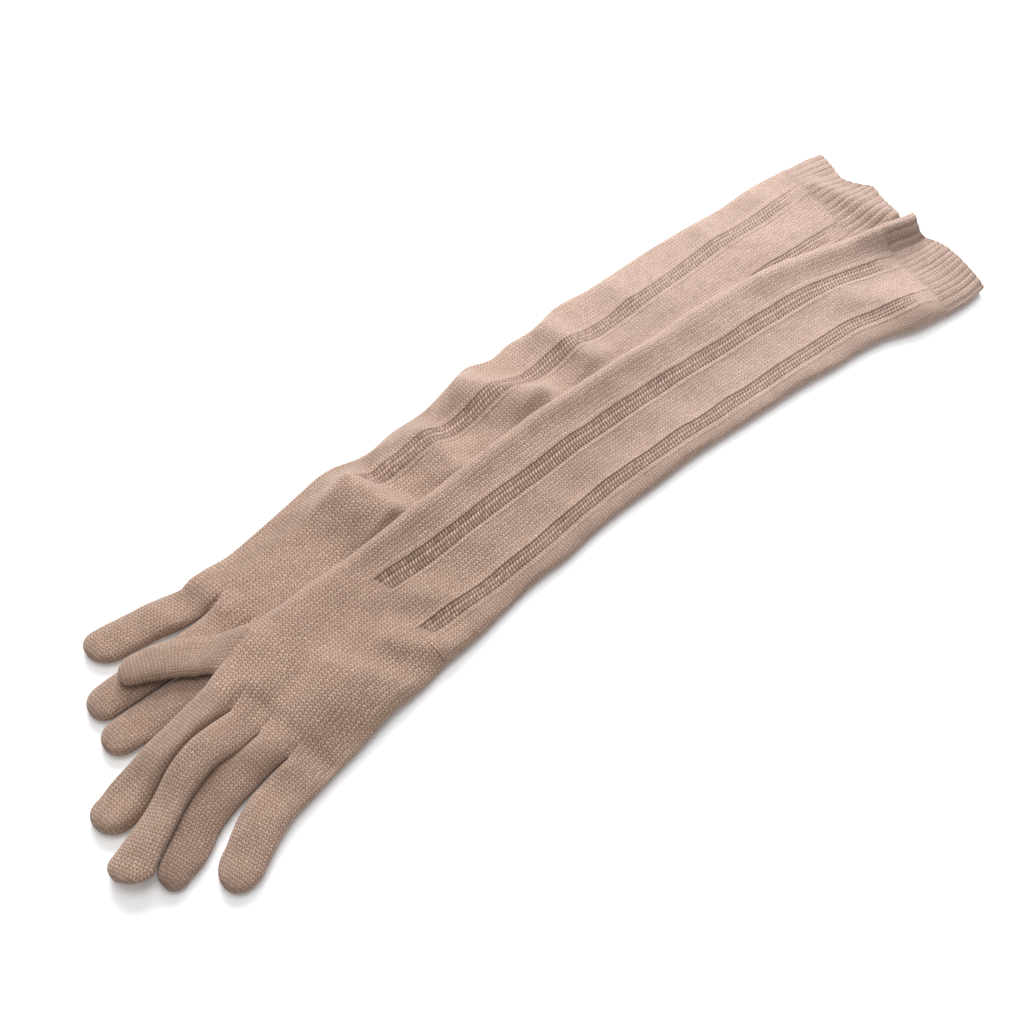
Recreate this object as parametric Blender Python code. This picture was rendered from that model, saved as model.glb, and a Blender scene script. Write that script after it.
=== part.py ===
"""A pair of long knitted gloves, laid flat, one partly over the other.

+X runs along the gloves from the fingertips to the cuffs and +Z is up.
Every piece is a flattened tube of cloth: rings of points round each section,
an outer ring and a plain inner ring one wall inside it. A section stands on
the line between two edge points and its row gives the height of the roll.
Pieces that are knitted on to each other stand 0.3 mm or more apart at their rims.
"""
from collections import namedtuple

import bmesh
import bpy
import numpy as np
from mathutils import Vector
from mathutils.bvhtree import BVHTree

MM = 0.001
CENTRE = (11.112, 6.4)        # middle of the pair in the tables' x and y
CLOTH_WALL = 1.6            # wall of sleeves, hands and cuffs
FINGER_WALL = 2.3           # wall of fingers and thumbs
LIFT_GAP = 0.7              # between the glove on top and the one below
SLEEVE_SLOPE = 0.24         # how steeply the upper sleeve comes down to the floor
FINGER_SLOPE = 0.42         # the same for its fingers
SLOPE_FROM, SLOPE_TO = -150.0, -115.0   # x where one slope gives way to the other
RIB_COUNT = 15              # ribs across the top of a cuff
RIB_HIGH = 0.7
STRIPE_DEEP = 0.5           # recess of an openwork stripe
RIDGE_HIGH = 0.45           # fine rib beside each stripe
FIELD_STEP = 1.5            # grid of the surface that carries the upper glove

Row = namedtuple("Row", "xu yu xl yl high")
Stripe = namedtuple("Stripe", "x y1 w1 y2 w2")
Fold = namedtuple("Fold", "x0 y0 x1 y1 lift left right")

# Upper edge x y, lower edge x y, height of the roll, all in millimetres
OVER_SLEEVE = [Row(*r) for r in (
    (-80.0, 28.6, -80.0, -40.1, 7.4), (-60.0, 27.4, -60.0, -39.9, 7.2),
    (-40.0, 27.7, -40.0, -38.2, 7.0), (-20.0, 28.2, -20.0, -37.0, 6.8),
    (0.0, 28.3, 0.0, -38.0, 6.8), (20.0, 28.2, 20.0, -36.9, 6.8),
    (40.0, 27.4, 40.0, -37.4, 6.8), (60.0, 25.3, 60.0, -38.7, 6.8),
    (80.0, 23.7, 80.0, -39.6, 6.8), (100.0, 21.8, 100.0, -41.6, 6.8),
    (120.0, 20.0, 120.0, -44.3, 6.8), (140.0, 18.8, 139.0, -46.5, 6.9),
    (160.0, 16.3, 157.0, -49.0, 7.0), (178.0, 12.9, 173.0, -52.0, 7.2),
    (196.0, 8.6, 189.0, -54.2, 7.4), (213.0, 3.0, 205.0, -58.0, 7.6),
    (230.0, -3.6, 220.0, -64.8, 7.8), (249.0, -10.3, 238.0, -69.5, 7.8))]
OVER_CUFF = [Row(*r) for r in (
    (249.35, -10.3, 238.35, -69.5, 7.8), (256.0, -12.0, 245.0, -70.6, 7.8),
    (264.0, -14.3, 254.0, -71.8, 7.8), (273.0, -16.3, 265.5, -71.6, 8.0))]
OVER_HAND = [Row(*r) for r in (
    (-80.3, 28.6, -80.3, -40.1, 7.4), (-96.0, 30.4, -96.0, -41.6, 7.4),
    (-113.0, 31.5, -112.0, -41.8, 7.4), (-129.0, 32.8, -127.0, -43.4, 7.6),
    (-141.0, 30.6, -139.0, -44.9, 7.8), (-152.0, 27.4, -149.0, -45.8, 8.0),
    (-161.0, 24.8, -156.0, -46.6, 8.2), (-168.0, 22.6, -161.0, -47.3, 8.2))]
OVER_THUMB = [Row(*r) for r in (
    (-129.5, 33.7, -161.0, 26.3, 6.6), (-137.5, 36.0, -164.4, 28.4, 7.4),
    (-145.5, 39.2, -167.5, 30.2, 7.8), (-154.0, 45.0, -170.0, 32.6, 8.0),
    (-163.0, 51.0, -174.5, 36.2, 8.0), (-172.0, 55.4, -180.0, 40.0, 8.0),
    (-179.5, 57.8, -186.0, 44.0, 7.6))]
OVER_INDEX = [Row(*r) for r in (
    (-168.4, 22.4, -166.7, 6.2, 8.2), (-180.0, 21.2, -178.5, 7.0, 8.4),
    (-192.0, 19.8, -190.0, 6.6, 8.4), (-204.0, 18.8, -202.0, 4.2, 8.4),
    (-216.0, 17.8, -214.0, 0.1, 8.2), (-227.0, 17.0, -225.0, -3.2, 7.8),
    (-234.0, 16.0, -232.0, -3.6, 7.4))]
OVER_MIDDLE = [Row(*r) for r in (
    (-166.7, 5.6, -165.1, -10.2, 8.2), (-178.5, 6.4, -177.0, -9.4, 8.6),
    (-190.0, 6.0, -188.5, -8.4, 8.8), (-202.5, 3.6, -199.5, -10.0, 8.8),
    (-214.5, -0.4, -209.5, -12.8, 8.8), (-226.5, -4.4, -220.0, -18.0, 8.6),
    (-238.0, -7.6, -232.0, -24.0, 8.0), (-245.5, -9.6, -240.0, -28.4, 7.4))]
OVER_RING = [Row(*r) for r in (
    (-165.0, -10.8, -163.3, -27.4, 8.0), (-177.0, -10.0, -176.0, -26.9, 8.2),
    (-188.5, -9.0, -187.5, -27.8, 8.4), (-199.0, -10.6, -197.5, -29.5, 8.4),
    (-209.0, -13.4, -205.5, -31.9, 8.2), (-219.0, -18.4, -213.5, -36.0, 8.0),
    (-228.0, -23.0, -222.5, -39.0, 7.8), (-232.0, -25.0, -228.0, -39.8, 7.4))]
OVER_LITTLE = [Row(*r) for r in (
    (-163.3, -28.0, -161.4, -47.3, 7.6), (-174.0, -27.5, -170.0, -48.2, 7.8),
    (-184.0, -28.5, -178.5, -49.6, 7.8), (-193.0, -31.2, -187.5, -52.4, 7.8),
    (-201.5, -35.4, -196.5, -56.2, 7.6), (-208.5, -39.4, -204.5, -60.0, 7.4))]

UNDER_SLEEVE = [Row(*r) for r in (
    (-46.0, 76.6, -46.0, 1.0, 7.6), (-30.0, 71.4, -30.0, 1.0, 7.2),
    (-12.0, 72.3, -12.0, 2.0, 7.0), (8.0, 71.0, 8.0, 3.0, 6.8),
    (28.0, 73.9, 28.0, 4.0, 7.0), (40.0, 75.8, 40.0, 5.0, 7.2),
    (54.0, 71.0, 54.0, 5.0, 6.8), (66.0, 71.8, 66.0, 5.0, 6.8),
    (80.0, 70.0, 80.0, 5.0, 6.8),
    (100.0, 72.0, 100.0, 5.0, 7.0), (120.0, 68.7, 120.0, 4.0, 6.8),
    (142.0, 66.9, 141.0, 2.0, 6.8), (164.0, 65.1, 161.0, 0.0, 6.8),
    (186.0, 62.3, 181.0, -3.0, 6.8), (208.0, 58.8, 201.0, -6.0, 7.0),
    (230.0, 57.6, 222.0, -9.0, 7.0), (249.0, 54.2, 240.0, -11.5, 7.2))]
UNDER_CUFF = [Row(*r) for r in (
    (249.35, 54.2, 240.35, -11.5, 7.2), (257.0, 51.8, 250.0, -12.5, 7.2),
    (266.0, 50.0, 260.0, -13.5, 7.2), (275.0, 47.0, 271.0, -13.0, 7.4))]
UNDER_HAND = [Row(*r) for r in (
    (-46.3, 76.6, -46.3, 1.0, 7.6), (-54.0, 77.7, -54.0, 0.5, 7.4),
    (-64.0, 76.9, -64.0, 0.0, 7.4),
    (-80.0, 75.4, -80.0, -0.5, 7.2), (-98.0, 74.0, -98.0, -1.0, 7.2),
    (-116.0, 73.1, -113.0, -1.0, 7.2), (-131.0, 75.0, -123.0, 0.0, 7.4),
    (-142.0, 73.6, -130.0, 1.0, 7.4))]
UNDER_LITTLE = [Row(*r) for r in (
    (-142.4, 73.4, -139.6, 56.4, 7.4), (-151.0, 76.6, -147.0, 56.4, 7.6),
    (-160.0, 79.0, -156.0, 58.0, 7.8), (-169.0, 81.0, -165.0, 60.8, 7.8),
    (-178.0, 83.2, -174.5, 62.8, 7.6), (-185.0, 84.6, -183.0, 64.6, 7.2))]
UNDER_RING = [Row(*r) for r in (
    (-139.5, 55.8, -136.6, 38.2, 7.4), (-152.0, 55.4, -148.0, 37.4, 7.6),
    (-166.0, 56.6, -163.0, 38.4, 7.8), (-180.0, 58.8, -178.0, 40.6, 7.8),
    (-192.0, 60.2, -191.0, 42.0, 7.6), (-202.0, 60.6, -202.0, 43.1, 7.2))]
UNDER_MIDDLE = [Row(*r) for r in (
    (-136.5, 37.6, -133.6, 19.8, 7.4), (-150.0, 36.8, -148.0, 19.2, 7.6),
    (-166.0, 37.8, -165.0, 20.2, 7.8), (-182.0, 40.0, -181.0, 21.5, 7.8),
    (-196.0, 41.6, -195.0, 22.5, 7.6), (-207.5, 42.4, -207.0, 24.4, 7.2))]
UNDER_INDEX = [Row(*r) for r in (
    (-133.5, 19.2, -130.5, 1.2, 7.2), (-147.0, 18.6, -147.0, 0.6, 7.2),
    (-163.0, 19.6, -163.0, 1.6, 7.2), (-179.0, 20.6, -179.0, 3.0, 7.0),
    (-192.0, 21.0, -192.0, 4.4, 6.8))]
UNDER_THUMB = [Row(*r) for r in (
    (-122.0, -0.9, -96.0, -1.7, 6.0), (-125.5, -2.0, -104.0, -9.4, 6.0),
    (-130.0, -2.6, -113.0, -15.6, 6.0), (-138.0, -3.6, -124.5, -19.4, 6.0),
    (-147.0, -6.4, -137.0, -22.2, 6.0), (-154.0, -9.4, -147.0, -24.0, 5.6))]

# Far end of each closed fingertip, x y
TIPS = {
    "over_thumb": (-192.0, 54.0), "over_index": (-242.6, 6.6),
    "over_middle": (-251.4, -20.0), "over_ring": (-238.2, -35.6),
    "over_little": (-219.8, -54.0), "under_thumb": (-160.5, -18.0),
    "under_index": (-202.0, 13.2), "under_middle": (-216.6, 33.6),
    "under_ring": (-210.8, 51.8), "under_little": (-193.4, 75.8)}

# Two openwork stripes down each sleeve: middle line and width at each x
OVER_STRIPES = [Stripe(*s) for s in (
    (-80, 6.4, 8.6, -22.8, 6.6), (-20, 4.8, 8.4, -25.1, 6.6),
    (40, 3.1, 8.2, -24.4, 6.8), (100, -1.4, 7.8, -29.9, 6.6),
    (150, -7.7, 7.6, -35.9, 6.2), (195, -14.2, 7.2, -41.6, 6.0),
    (225, -24.1, 6.2, -51.3, 5.4), (249, -31.0, 5.6, -58.5, 5.0))]
UNDER_STRIPES = [Stripe(*s) for s in (
    (-46, 56.0, 11.0, 24.0, 8.0), (20, 51.0, 10.0, 24.0, 8.0),
    (80, 46.5, 8.5, 20.0, 8.0), (140, 45.0, 8.0, 17.0, 7.5),
    (190, 38.5, 7.0, 11.0, 7.0), (249, 36.0, 6.0, 4.5, 6.5))]

# How far the open edge of each cuff waves along x, at points across it from its lower side
OVER_WAVE = ((-1.0, 0.0), (-0.5, 0.8), (0.05, 1.4), (0.35, 0.0), (0.6, -4.0), (0.8, -3.6), (1.0, 0.0))
UNDER_WAVE = ((-1.0, 0.0), (-0.5, 0.8), (-0.15, 1.6), (0.05, -2.8), (0.3, -5.6), (0.6, -3.2), (1.0, 0.0))

# Creases of the laid cloth: a line, its lift, and how wide it falls off to its left and right
OVER_FOLDS = [Fold(*f) for f in (
    (-92, -44, -66, -16, -1.2, 6.0, 6.0), (-74, -44, -52, -22, 0.9, 6.0, 8.0),
    (-125, 14, -60, -6, 0.8, 10.0, 12.0), (205, 3, 266, -16, 2.2, 7.0, 7.0),
    (210, -13, 262, -29, -1.4, 7.0, 8.0), (222, -24, 236, -54, 0.8, 8.0, 8.0))]
UNDER_FOLDS = [Fold(*f) for f in (
    (-47, 30, -50, 64, 2.4, 15.0, 9.0), (-28, 54, -26, 70, 1.4, 8.0, 9.0),
    (2, 32, 4, 57, 2.0, 12.0, 8.0), (62, 30, 55, 44, 2.2, 10.0, 9.0),
    (55, 44, 36, 70, 2.8, 10.0, 9.0), (88, 34, 84, 64, 2.2, 9.0, 9.0),
    (126, 50, 127, 64, 0.9, 9.0, 9.0), (188, 50, 189, 62, 1.0, 8.0, 9.0),
    (225, 42, 225, 56, 1.0, 8.0, 9.0))]

KNIT = {"sleeve": (0.49, 0.355, 0.275), "hand": (0.43, 0.305, 0.235),
        "cuff": (0.54, 0.40, 0.31), "finger": (0.42, 0.295, 0.225)}


def clear_scene():
    for thing in list(bpy.data.objects):
        bpy.data.objects.remove(thing, do_unlink=True)


def roll(s, square, soft):
    """Half height of a flattened roll at s, from -1 to 1 across it."""
    return (1.0 - np.minimum(np.abs(s), 1.0) ** square) ** (1.0 / soft)


def fold_lift(folds, x, y):
    """Height that the creases add at each point."""
    total = np.zeros_like(x)
    for f in folds:
        along = np.array((f.x1 - f.x0, f.y1 - f.y0))
        length = np.hypot(*along)
        along = along / length
        t = (x - f.x0) * along[0] + (y - f.y0) * along[1]
        off = (x - f.x0) * along[1] - (y - f.y0) * along[0]
        past = np.maximum(np.maximum(-t, t - length), 0.0)
        wide = np.where(off < 0.0, f.left, f.right)
        total += f.lift * np.exp(-(off / wide) ** 2 - (past / 7.0) ** 2)
    return total


def under_crown(spans, x):
    """The lower glove is thickest under the edge of the upper one, which presses it flat."""
    pressed = 0.60 + 0.60 * (spans + 1.0)
    free = 1.08 - 0.25 * (spans + 0.2)
    blend = np.clip((x + 125.0) / 60.0, 0.0, 1.0)
    return 1.0 + blend * (np.minimum(pressed, free) - 1.0)


def over_crown(spans, x):
    """The upper glove's far edge stands as a soft roll, and its middle sinks a little."""
    blend = np.clip((x + 125.0) / 60.0, 0.0, 1.0)
    roll_up = 0.16 * np.exp(-((spans - 0.82) / 0.22) ** 2)
    return 1.0 + blend * (roll_up - 0.10 * np.exp(-(spans / 0.45) ** 2))


def finer(rows, until):
    """The same outline with a row added halfway between those up to a given x."""
    made = [rows[0]]
    for k, (a, b) in enumerate(zip(rows, rows[1:])):
        if b.xu < until:
            before = rows[max(k - 1, 0)]
            after = rows[min(k + 2, len(rows) - 1)]
            made.append(Row(*[0.5625 * (p + q) - 0.0625 * (o + r)
                              for o, p, q, r in zip(before, a, b, after)]))
        made.append(b)
    return made


def stripe_at(stripes, x):
    """Middle and width of both stripes at x."""
    xs = [s.x for s in stripes]
    cols = [[getattr(s, name) for s in stripes] for name in ("y1", "w1", "y2", "w2")]
    return [float(np.interp(x, xs, col)) for col in cols]


def stripe_relief(stripes, x, y):
    """The recessed bands and the fine rib along the lower side of each."""
    total = np.zeros_like(y)
    for k, (px, py) in enumerate(zip(x, y)):
        y1, w1, y2, w2 = stripe_at(stripes, px)
        for mid, wide in ((y1, w1), (y2, w2)):
            off = py - mid
            total[k] -= STRIPE_DEEP * float(abs(off) < wide / 2.0 - 0.2)
            total[k] += RIDGE_HIGH * float(-wide / 2.0 - 2.2 < off < -wide / 2.0 - 0.8)
    return total


def plain_spans(count, row):
    return -np.cos(np.linspace(0.0, np.pi, count)) * 0.55 + np.linspace(-1, 1, count) * 0.45


def rib_spans(count, row):
    return np.linspace(-1.0, 1.0, 2 * RIB_COUNT + 1)


def stripe_spans(stripes, row):
    """Where the points of a sleeve section stand, so that they follow the stripes."""
    x = (row.xu + row.xl) / 2.0
    mid = (row.yu + row.yl) / 2.0
    half = (row.yu - row.yl) / 2.0
    y1, w1, y2, w2 = stripe_at(stripes, x)
    marks = [row.yl, row.yl + 0.06 * half, row.yl + 0.22 * half]
    for centre, wide in ((y2, w2), (y1, w1)):
        low = centre - wide / 2.0
        high = centre + wide / 2.0
        marks += [low - 2.6, low - 1.5, low - 0.4, low + 0.5, high - 0.5, high + 0.4]
        if centre == y2:
            gap_low, gap_high = high + 0.4, y1 - w1 / 2.0 - 2.6
            marks.append((gap_low + gap_high) / 2.0)
    left = row.yu - marks[-1]
    marks += [marks[-1] + 0.5 * left, row.yu - 0.1 * left, row.yu]
    return (np.array(marks) - mid) / half


def section(row, spans, base, inset, square, soft, relief, wave=None, crown=None):
    """One ring: over the top from the lower edge to the upper one, and back underneath."""
    low = np.array((row.xl, row.yl))
    high = np.array((row.xu, row.yu))
    mid = (low + high) / 2.0
    half = (high - low) / 2.0
    size = np.hypot(*half)
    half = half * (size - inset * 1.08) / size
    points = mid + spans[:, None] * half
    if wave:
        points[:, 0] += np.interp(spans, *zip(*wave))
    rest = base(points[:, 0], points[:, 1])
    full = row.high * (crown(spans, points[:, 0]) if crown else np.ones_like(spans))
    thick = (full - 2.0 * inset) / 2.0
    swell = roll(spans, square, soft)
    top = rest + inset + thick * (1.0 + swell) + relief(points[:, 0], points[:, 1])
    flat = swell if inset else np.minimum(1.0, swell * 1.12)
    under = rest + inset + thick * (1.0 - flat)
    for end in (0, -1):
        top[end] = under[end] = rest[end] + inset + thick[end]
    ring = [(p[0], p[1], z) for p, z in zip(points, top)]
    ring += [(p[0], p[1], z) for p, z in zip(points[-2:0:-1], under[-2:0:-1])]
    return ring


def tip_rows(last, tip):
    """Rows that round a finger off to its tip."""
    mid = np.array(((last.xu + last.xl) / 2.0, (last.yu + last.yl) / 2.0))
    half = np.array((last.xu - last.xl, last.yu - last.yl)) / 2.0
    reach = np.array(tip) - mid
    rows = []
    for far in (0.42, 0.74, 0.92):
        wide = np.sqrt(1.0 - far ** 2.3)
        centre = mid + far * reach
        a = centre + half * wide
        b = centre - half * wide
        rows.append(Row(a[0], a[1], b[0], b[1], last.high * (0.35 + 0.65 * wide)))
    return rows


def tube(name, rows, base, wall, count=15, spans=plain_spans, square=4.5, soft=2.2,
         relief=None, inner_relief=None, tip=None, wave=None, crown=None):
    """A closed body: the outer wall, the plain inner wall, and the rims that join them."""
    plain = lambda x, y: np.zeros_like(x)
    relief = relief or plain
    inner_relief = inner_relief or plain
    outer_rows = list(rows)
    inner_rows = list(rows)
    if tip:
        ends = tip_rows(rows[-1], tip)
        outer_rows += ends
        inner_rows += ends[:1]
    mesh = bmesh.new()
    shells = []
    for table, inset, lift in ((outer_rows, 0.0, relief), (inner_rows, wall, inner_relief)):
        rings = []
        for row in table:
            low = row.high / 2.0
            edge = wave if wave and row is rows[-1] else None
            ring = section(row, spans(count, row), base, inset, square, soft, lift, edge, crown)
            if tip and row in ends:
                settle = rows[-1].high / 2.0 - low
                ring = [(x, y, z + settle * 0.6) for x, y, z in ring]
            rings.append([mesh.verts.new(p) for p in ring])
        for a, b in zip(rings, rings[1:]):
            for k in range(len(a)):
                n = (k + 1) % len(a)
                mesh.faces.new((a[k], a[n], b[n], b[k]))
        shells.append(rings)
    if tip:
        x, y = np.array([tip[0]]), np.array([tip[1]])
        floor = float(base(x, y)[0])
        inner_end = inner_rows[-1]
        ix = (inner_end.xu + inner_end.xl) / 2.0 * 0.65 + tip[0] * 0.35
        iy = (inner_end.yu + inner_end.yl) / 2.0 * 0.65 + tip[1] * 0.35
        inner_floor = float(base(np.array([ix]), np.array([iy]))[0])
        middle = rows[-1].high / 2.0
        for rings, point in ((shells[0], (tip[0], tip[1], floor + middle)),
                             (shells[1], (ix, iy, inner_floor + middle))):
            pole = mesh.verts.new(point)
            last = rings[-1]
            for k in range(len(last)):
                mesh.faces.new((last[k], last[(k + 1) % len(last)], pole))
    for end in (0,) if tip else (0, -1):
        out, inn = shells[0][end], shells[1][end]
        for k in range(len(out)):
            n = (k + 1) % len(out)
            mesh.faces.new((out[k], inn[k], inn[n], out[n]))
    bmesh.ops.recalc_face_normals(mesh, faces=mesh.faces)
    if mesh.calc_volume(signed=True) < 0.0:
        bmesh.ops.reverse_faces(mesh, faces=mesh.faces)
    bmesh.ops.triangulate(mesh, faces=mesh.faces)
    return name, mesh


def floor_base(x, y):
    return np.zeros_like(x)


def carried_by(lower):
    """The surface under the upper glove: the lower glove's tops, widened and eased down."""
    x0, x1, y0, y1 = -275.0, 295.0, -95.0, 110.0
    xs = np.arange(x0, x1, FIELD_STEP)
    ys = np.arange(y0, y1, FIELD_STEP)
    tops = np.full((len(xs), len(ys)), -50.0)
    for _, mesh in lower:
        tree = BVHTree.FromBMesh(mesh)
        box = [[v.co[axis] for v in mesh.verts] for axis in (0, 1)]
        span_x = (xs > min(box[0]) - 1.0) & (xs < max(box[0]) + 1.0)
        span_y = (ys > min(box[1]) - 1.0) & (ys < max(box[1]) + 1.0)
        for i in np.flatnonzero(span_x):
            for j in np.flatnonzero(span_y):
                hit = tree.ray_cast(Vector((xs[i], ys[j], 60.0)), Vector((0.0, 0.0, -1.0)))
                if hit[0] is not None:
                    tops[i, j] = max(tops[i, j], hit[0].z)
    reach = int(38.0 / FIELD_STEP)
    gentle = np.zeros_like(tops)
    steep = np.zeros_like(tops)
    for di in range(-reach, reach + 1):
        for dj in range(-reach, reach + 1):
            far_x = max(abs(di) * FIELD_STEP - 9.0, 0.0)
            far_y = max(abs(dj) * FIELD_STEP - 3.0, 0.0)
            away = np.hypot(far_x, far_y)
            moved = np.roll(np.roll(tops, di, axis=0), dj, axis=1) + LIFT_GAP
            gentle = np.maximum(gentle, moved - SLEEVE_SLOPE * away)
            steep = np.maximum(steep, moved - FINGER_SLOPE * away)
    share = np.clip((xs - SLOPE_FROM) / (SLOPE_TO - SLOPE_FROM), 0.0, 1.0)[:, None]
    field = share * gentle + (1.0 - share) * steep

    def base(x, y):
        fx = np.clip((x - x0) / FIELD_STEP, 0, len(xs) - 1.001)
        fy = np.clip((y - y0) / FIELD_STEP, 0, len(ys) - 1.001)
        i, j = fx.astype(int), fy.astype(int)
        u, v = fx - i, fy - j
        return ((1 - u) * (1 - v) * field[i, j] + u * (1 - v) * field[i + 1, j]
                + (1 - u) * v * field[i, j + 1] + u * v * field[i + 1, j + 1])
    return base


def glove(side, base, tables, stripes, folds, wave, crown):
    """All eight pieces of one glove on the surface that carries it."""
    def creases(x, y):
        return fold_lift(folds, x, y)

    def inner_creases(x, y):
        return np.minimum(fold_lift(folds, x, y), 0.6)

    def sleeve_top(x, y):
        return creases(x, y) + stripe_relief(stripes, x, y)

    def ribs(x, y):
        step = np.zeros_like(x)
        step[1::2] = RIB_HIGH
        return step

    def striped(count, row):
        return stripe_spans(stripes, row)

    made = [
        tube(side + "_sleeve", tables["sleeve"], base, CLOTH_WALL, spans=striped,
             relief=sleeve_top, inner_relief=inner_creases, crown=crown),
        tube(side + "_cuff", tables["cuff"], base, CLOTH_WALL, spans=rib_spans, relief=ribs,
             wave=wave, crown=crown),
        tube(side + "_hand", tables["hand"], base, CLOTH_WALL, count=15,
             relief=creases, inner_relief=inner_creases, crown=crown)]
    for part in ("thumb", "index", "middle", "ring", "little"):
        made.append(tube(side + "_" + part, tables[part], base, FINGER_WALL, count=9,
                         square=2.8, soft=2.0, tip=TIPS[side + "_" + part]))
    return made


def material(name, colour):
    made = bpy.data.materials.new(name)
    made.use_nodes = True
    shader = made.node_tree.nodes["Principled BSDF"]
    shader.inputs["Base Color"].default_value = (*colour, 1.0)
    shader.inputs["Roughness"].default_value = 0.9
    return made


def place(made, collection):
    for name, mesh in made:
        for vert in mesh.verts:
            vert.co = Vector(((vert.co.x - CENTRE[0]) * MM, (vert.co.y - CENTRE[1]) * MM,
                              vert.co.z * MM))
        data = bpy.data.meshes.new(name)
        mesh.to_mesh(data)
        mesh.free()
        thing = bpy.data.objects.new(name, data)
        kind = name.split("_")[1]
        data.materials.append(material(name + "_knit", KNIT.get(kind, KNIT["finger"])))
        collection.objects.link(thing)


def main():
    clear_scene()
    collection = bpy.data.collections.new("long_knit_gloves")
    bpy.context.scene.collection.children.link(collection)
    under = {"sleeve": finer(UNDER_SLEEVE, 125.0), "cuff": UNDER_CUFF, "hand": UNDER_HAND,
             "thumb": UNDER_THUMB, "index": UNDER_INDEX, "middle": UNDER_MIDDLE,
             "ring": UNDER_RING, "little": UNDER_LITTLE}
    over = {"sleeve": OVER_SLEEVE, "cuff": OVER_CUFF, "hand": OVER_HAND,
            "thumb": OVER_THUMB, "index": OVER_INDEX, "middle": OVER_MIDDLE,
            "ring": OVER_RING, "little": OVER_LITTLE}
    lower = glove("under", floor_base, under, UNDER_STRIPES, UNDER_FOLDS, UNDER_WAVE,
                  under_crown)
    upper = glove("over", carried_by(lower), over, OVER_STRIPES, OVER_FOLDS, OVER_WAVE,
                  over_crown)
    place(lower, collection)
    place(upper, collection)


main()
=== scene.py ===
"""Looks of a pair of long knitted gloves: fine stockinette hands and fingers, sleeves with
openwork ladder stripes and ribbed cuffs, one glove laid partly over the other."""

import bpy
import numpy as np
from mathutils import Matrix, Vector
from mathutils.bvhtree import BVHTree


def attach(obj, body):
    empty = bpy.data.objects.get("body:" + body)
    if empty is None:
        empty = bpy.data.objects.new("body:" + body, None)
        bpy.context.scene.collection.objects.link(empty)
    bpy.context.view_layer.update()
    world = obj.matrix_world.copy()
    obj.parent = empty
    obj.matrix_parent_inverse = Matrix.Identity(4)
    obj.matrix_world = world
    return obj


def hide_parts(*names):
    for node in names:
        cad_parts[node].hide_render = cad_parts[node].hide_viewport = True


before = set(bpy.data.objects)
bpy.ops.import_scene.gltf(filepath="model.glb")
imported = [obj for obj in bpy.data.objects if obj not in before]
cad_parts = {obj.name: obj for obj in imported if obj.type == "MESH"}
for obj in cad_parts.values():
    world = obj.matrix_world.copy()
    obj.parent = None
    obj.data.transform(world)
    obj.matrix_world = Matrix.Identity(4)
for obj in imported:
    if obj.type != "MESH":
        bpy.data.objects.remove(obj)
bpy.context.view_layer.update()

bl_info = {
    "name": "Long knitted gloves",
    "version": (1, 0, 0),
    "blender": (4, 5, 0),
    "location": "View3D > Sidebar > Gloves",
    "description": "Builds a laid pair of long knitted gloves over its solids",
    "category": "Add Mesh",
}

MM = 0.001
CENTRE = (11.112, 6.4)  # middle of the pair in the tables' x and y, mm
FIELD_STEP = 1.5  # grid of the surface that carries the upper glove, mm
LIFT_GAP = 0.7  # gap between the two gloves, mm
SLEEVE_SLOPE = 0.24  # how steeply the carrying surface falls away beside the lower sleeve
FINGER_SLOPE = 0.42  # and beside the lower fingers
SLOPE_FROM, SLOPE_TO = -150.0, -115.0  # x between which one slope turns into the other, mm
SLEEVE_STEP, CUFF_STEP, HAND_STEP = 1.7, 1.1, 1.2  # from one ring of points to the next, mm
KNIT_ROLL = (4.5, 2.2)  # how square and how soft a sleeve, cuff or hand is in section
DIGIT_ROLL = (3.0, 2.0)  # the same for a finger or thumb
# Sections over which columns are spread: half their width and their height in mm, their roll
SLEEVE_SECTION = (34.0, 7.0, *KNIT_ROLL)
CUFF_SECTION = (29.5, 7.6, *KNIT_ROLL)
HAND_SECTION = (36.0, 7.5, *KNIT_ROLL)
DIGIT_SECTION = (9.0, 8.0, *DIGIT_ROLL)
SLEEVE_LOW = 34  # columns underneath a sleeve
HAND_TOP, HAND_LOW = 96, 48  # columns over and under a hand
DIGIT_TOP, DIGIT_LOW = 40, 22  # columns over and under a digit
TIP_STEPS = 9  # steps in which a fingertip is rounded off
FRONT_LENGTH = 15.0  # over which a hand turns into its four fingers, mm
FRONT_LOW = 0.12  # height left between two fingers there
SLEEVE_FULL = 1.8  # how full the near half of a sleeve is
LOW_FULL = 1.1  # how much fuller the underside of a tube is than its top
LIFT_SPREAD = 1.6  # how far the lift of the cloth spreads towards the side edges
RIB_COLUMNS = 8  # columns to each rib of a cuff
RIB_LOW = 0.35  # height of the ribs underneath, against those on top
CUFF_THICK = 1.2  # thickness of a cuff, against the rest of the cloth
CROWN_FROM, CROWN_BLEND = -125.0, 60.0  # x from which the crown sets in, and over what length, mm
FOLD_END = 7.0  # how far a crease runs out past its ends, mm
WALES_HALF = 37.0  # wales from one side edge of a sleeve to the other
FINGER_WALES = 1.5  # how much finer the wales of the digits are than the hand's
THUMB_WALES = 10.0  # wales of the hand that a thumb grows from
STITCH_UV = "stitch"  # UV map that counts wales and courses
# Painted shade: an attribute that paints the yarn darker where shade falls, in the openwork, under
# its lips, between cuff ribs and on a digit in a neighbour's shade
PAINTED_SHADE = "painted_shade"  # attribute that darkens the yarn, as on the openwork's ground
CUFFWARD_FROM, CUFFWARD_TO = -0.10, 0.11  # where the stitches grow fainter towards the cuffs, m
CUFFWARD_LOSS = 0.40  # how much of their contrast is gone there
SHARP_ANGLE = 62.0  # edges sharper than this stay sharp, degrees
HALF_TURN = 3.14159  # half a turn in radians, for the round sections of a stitch's yarn

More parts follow.
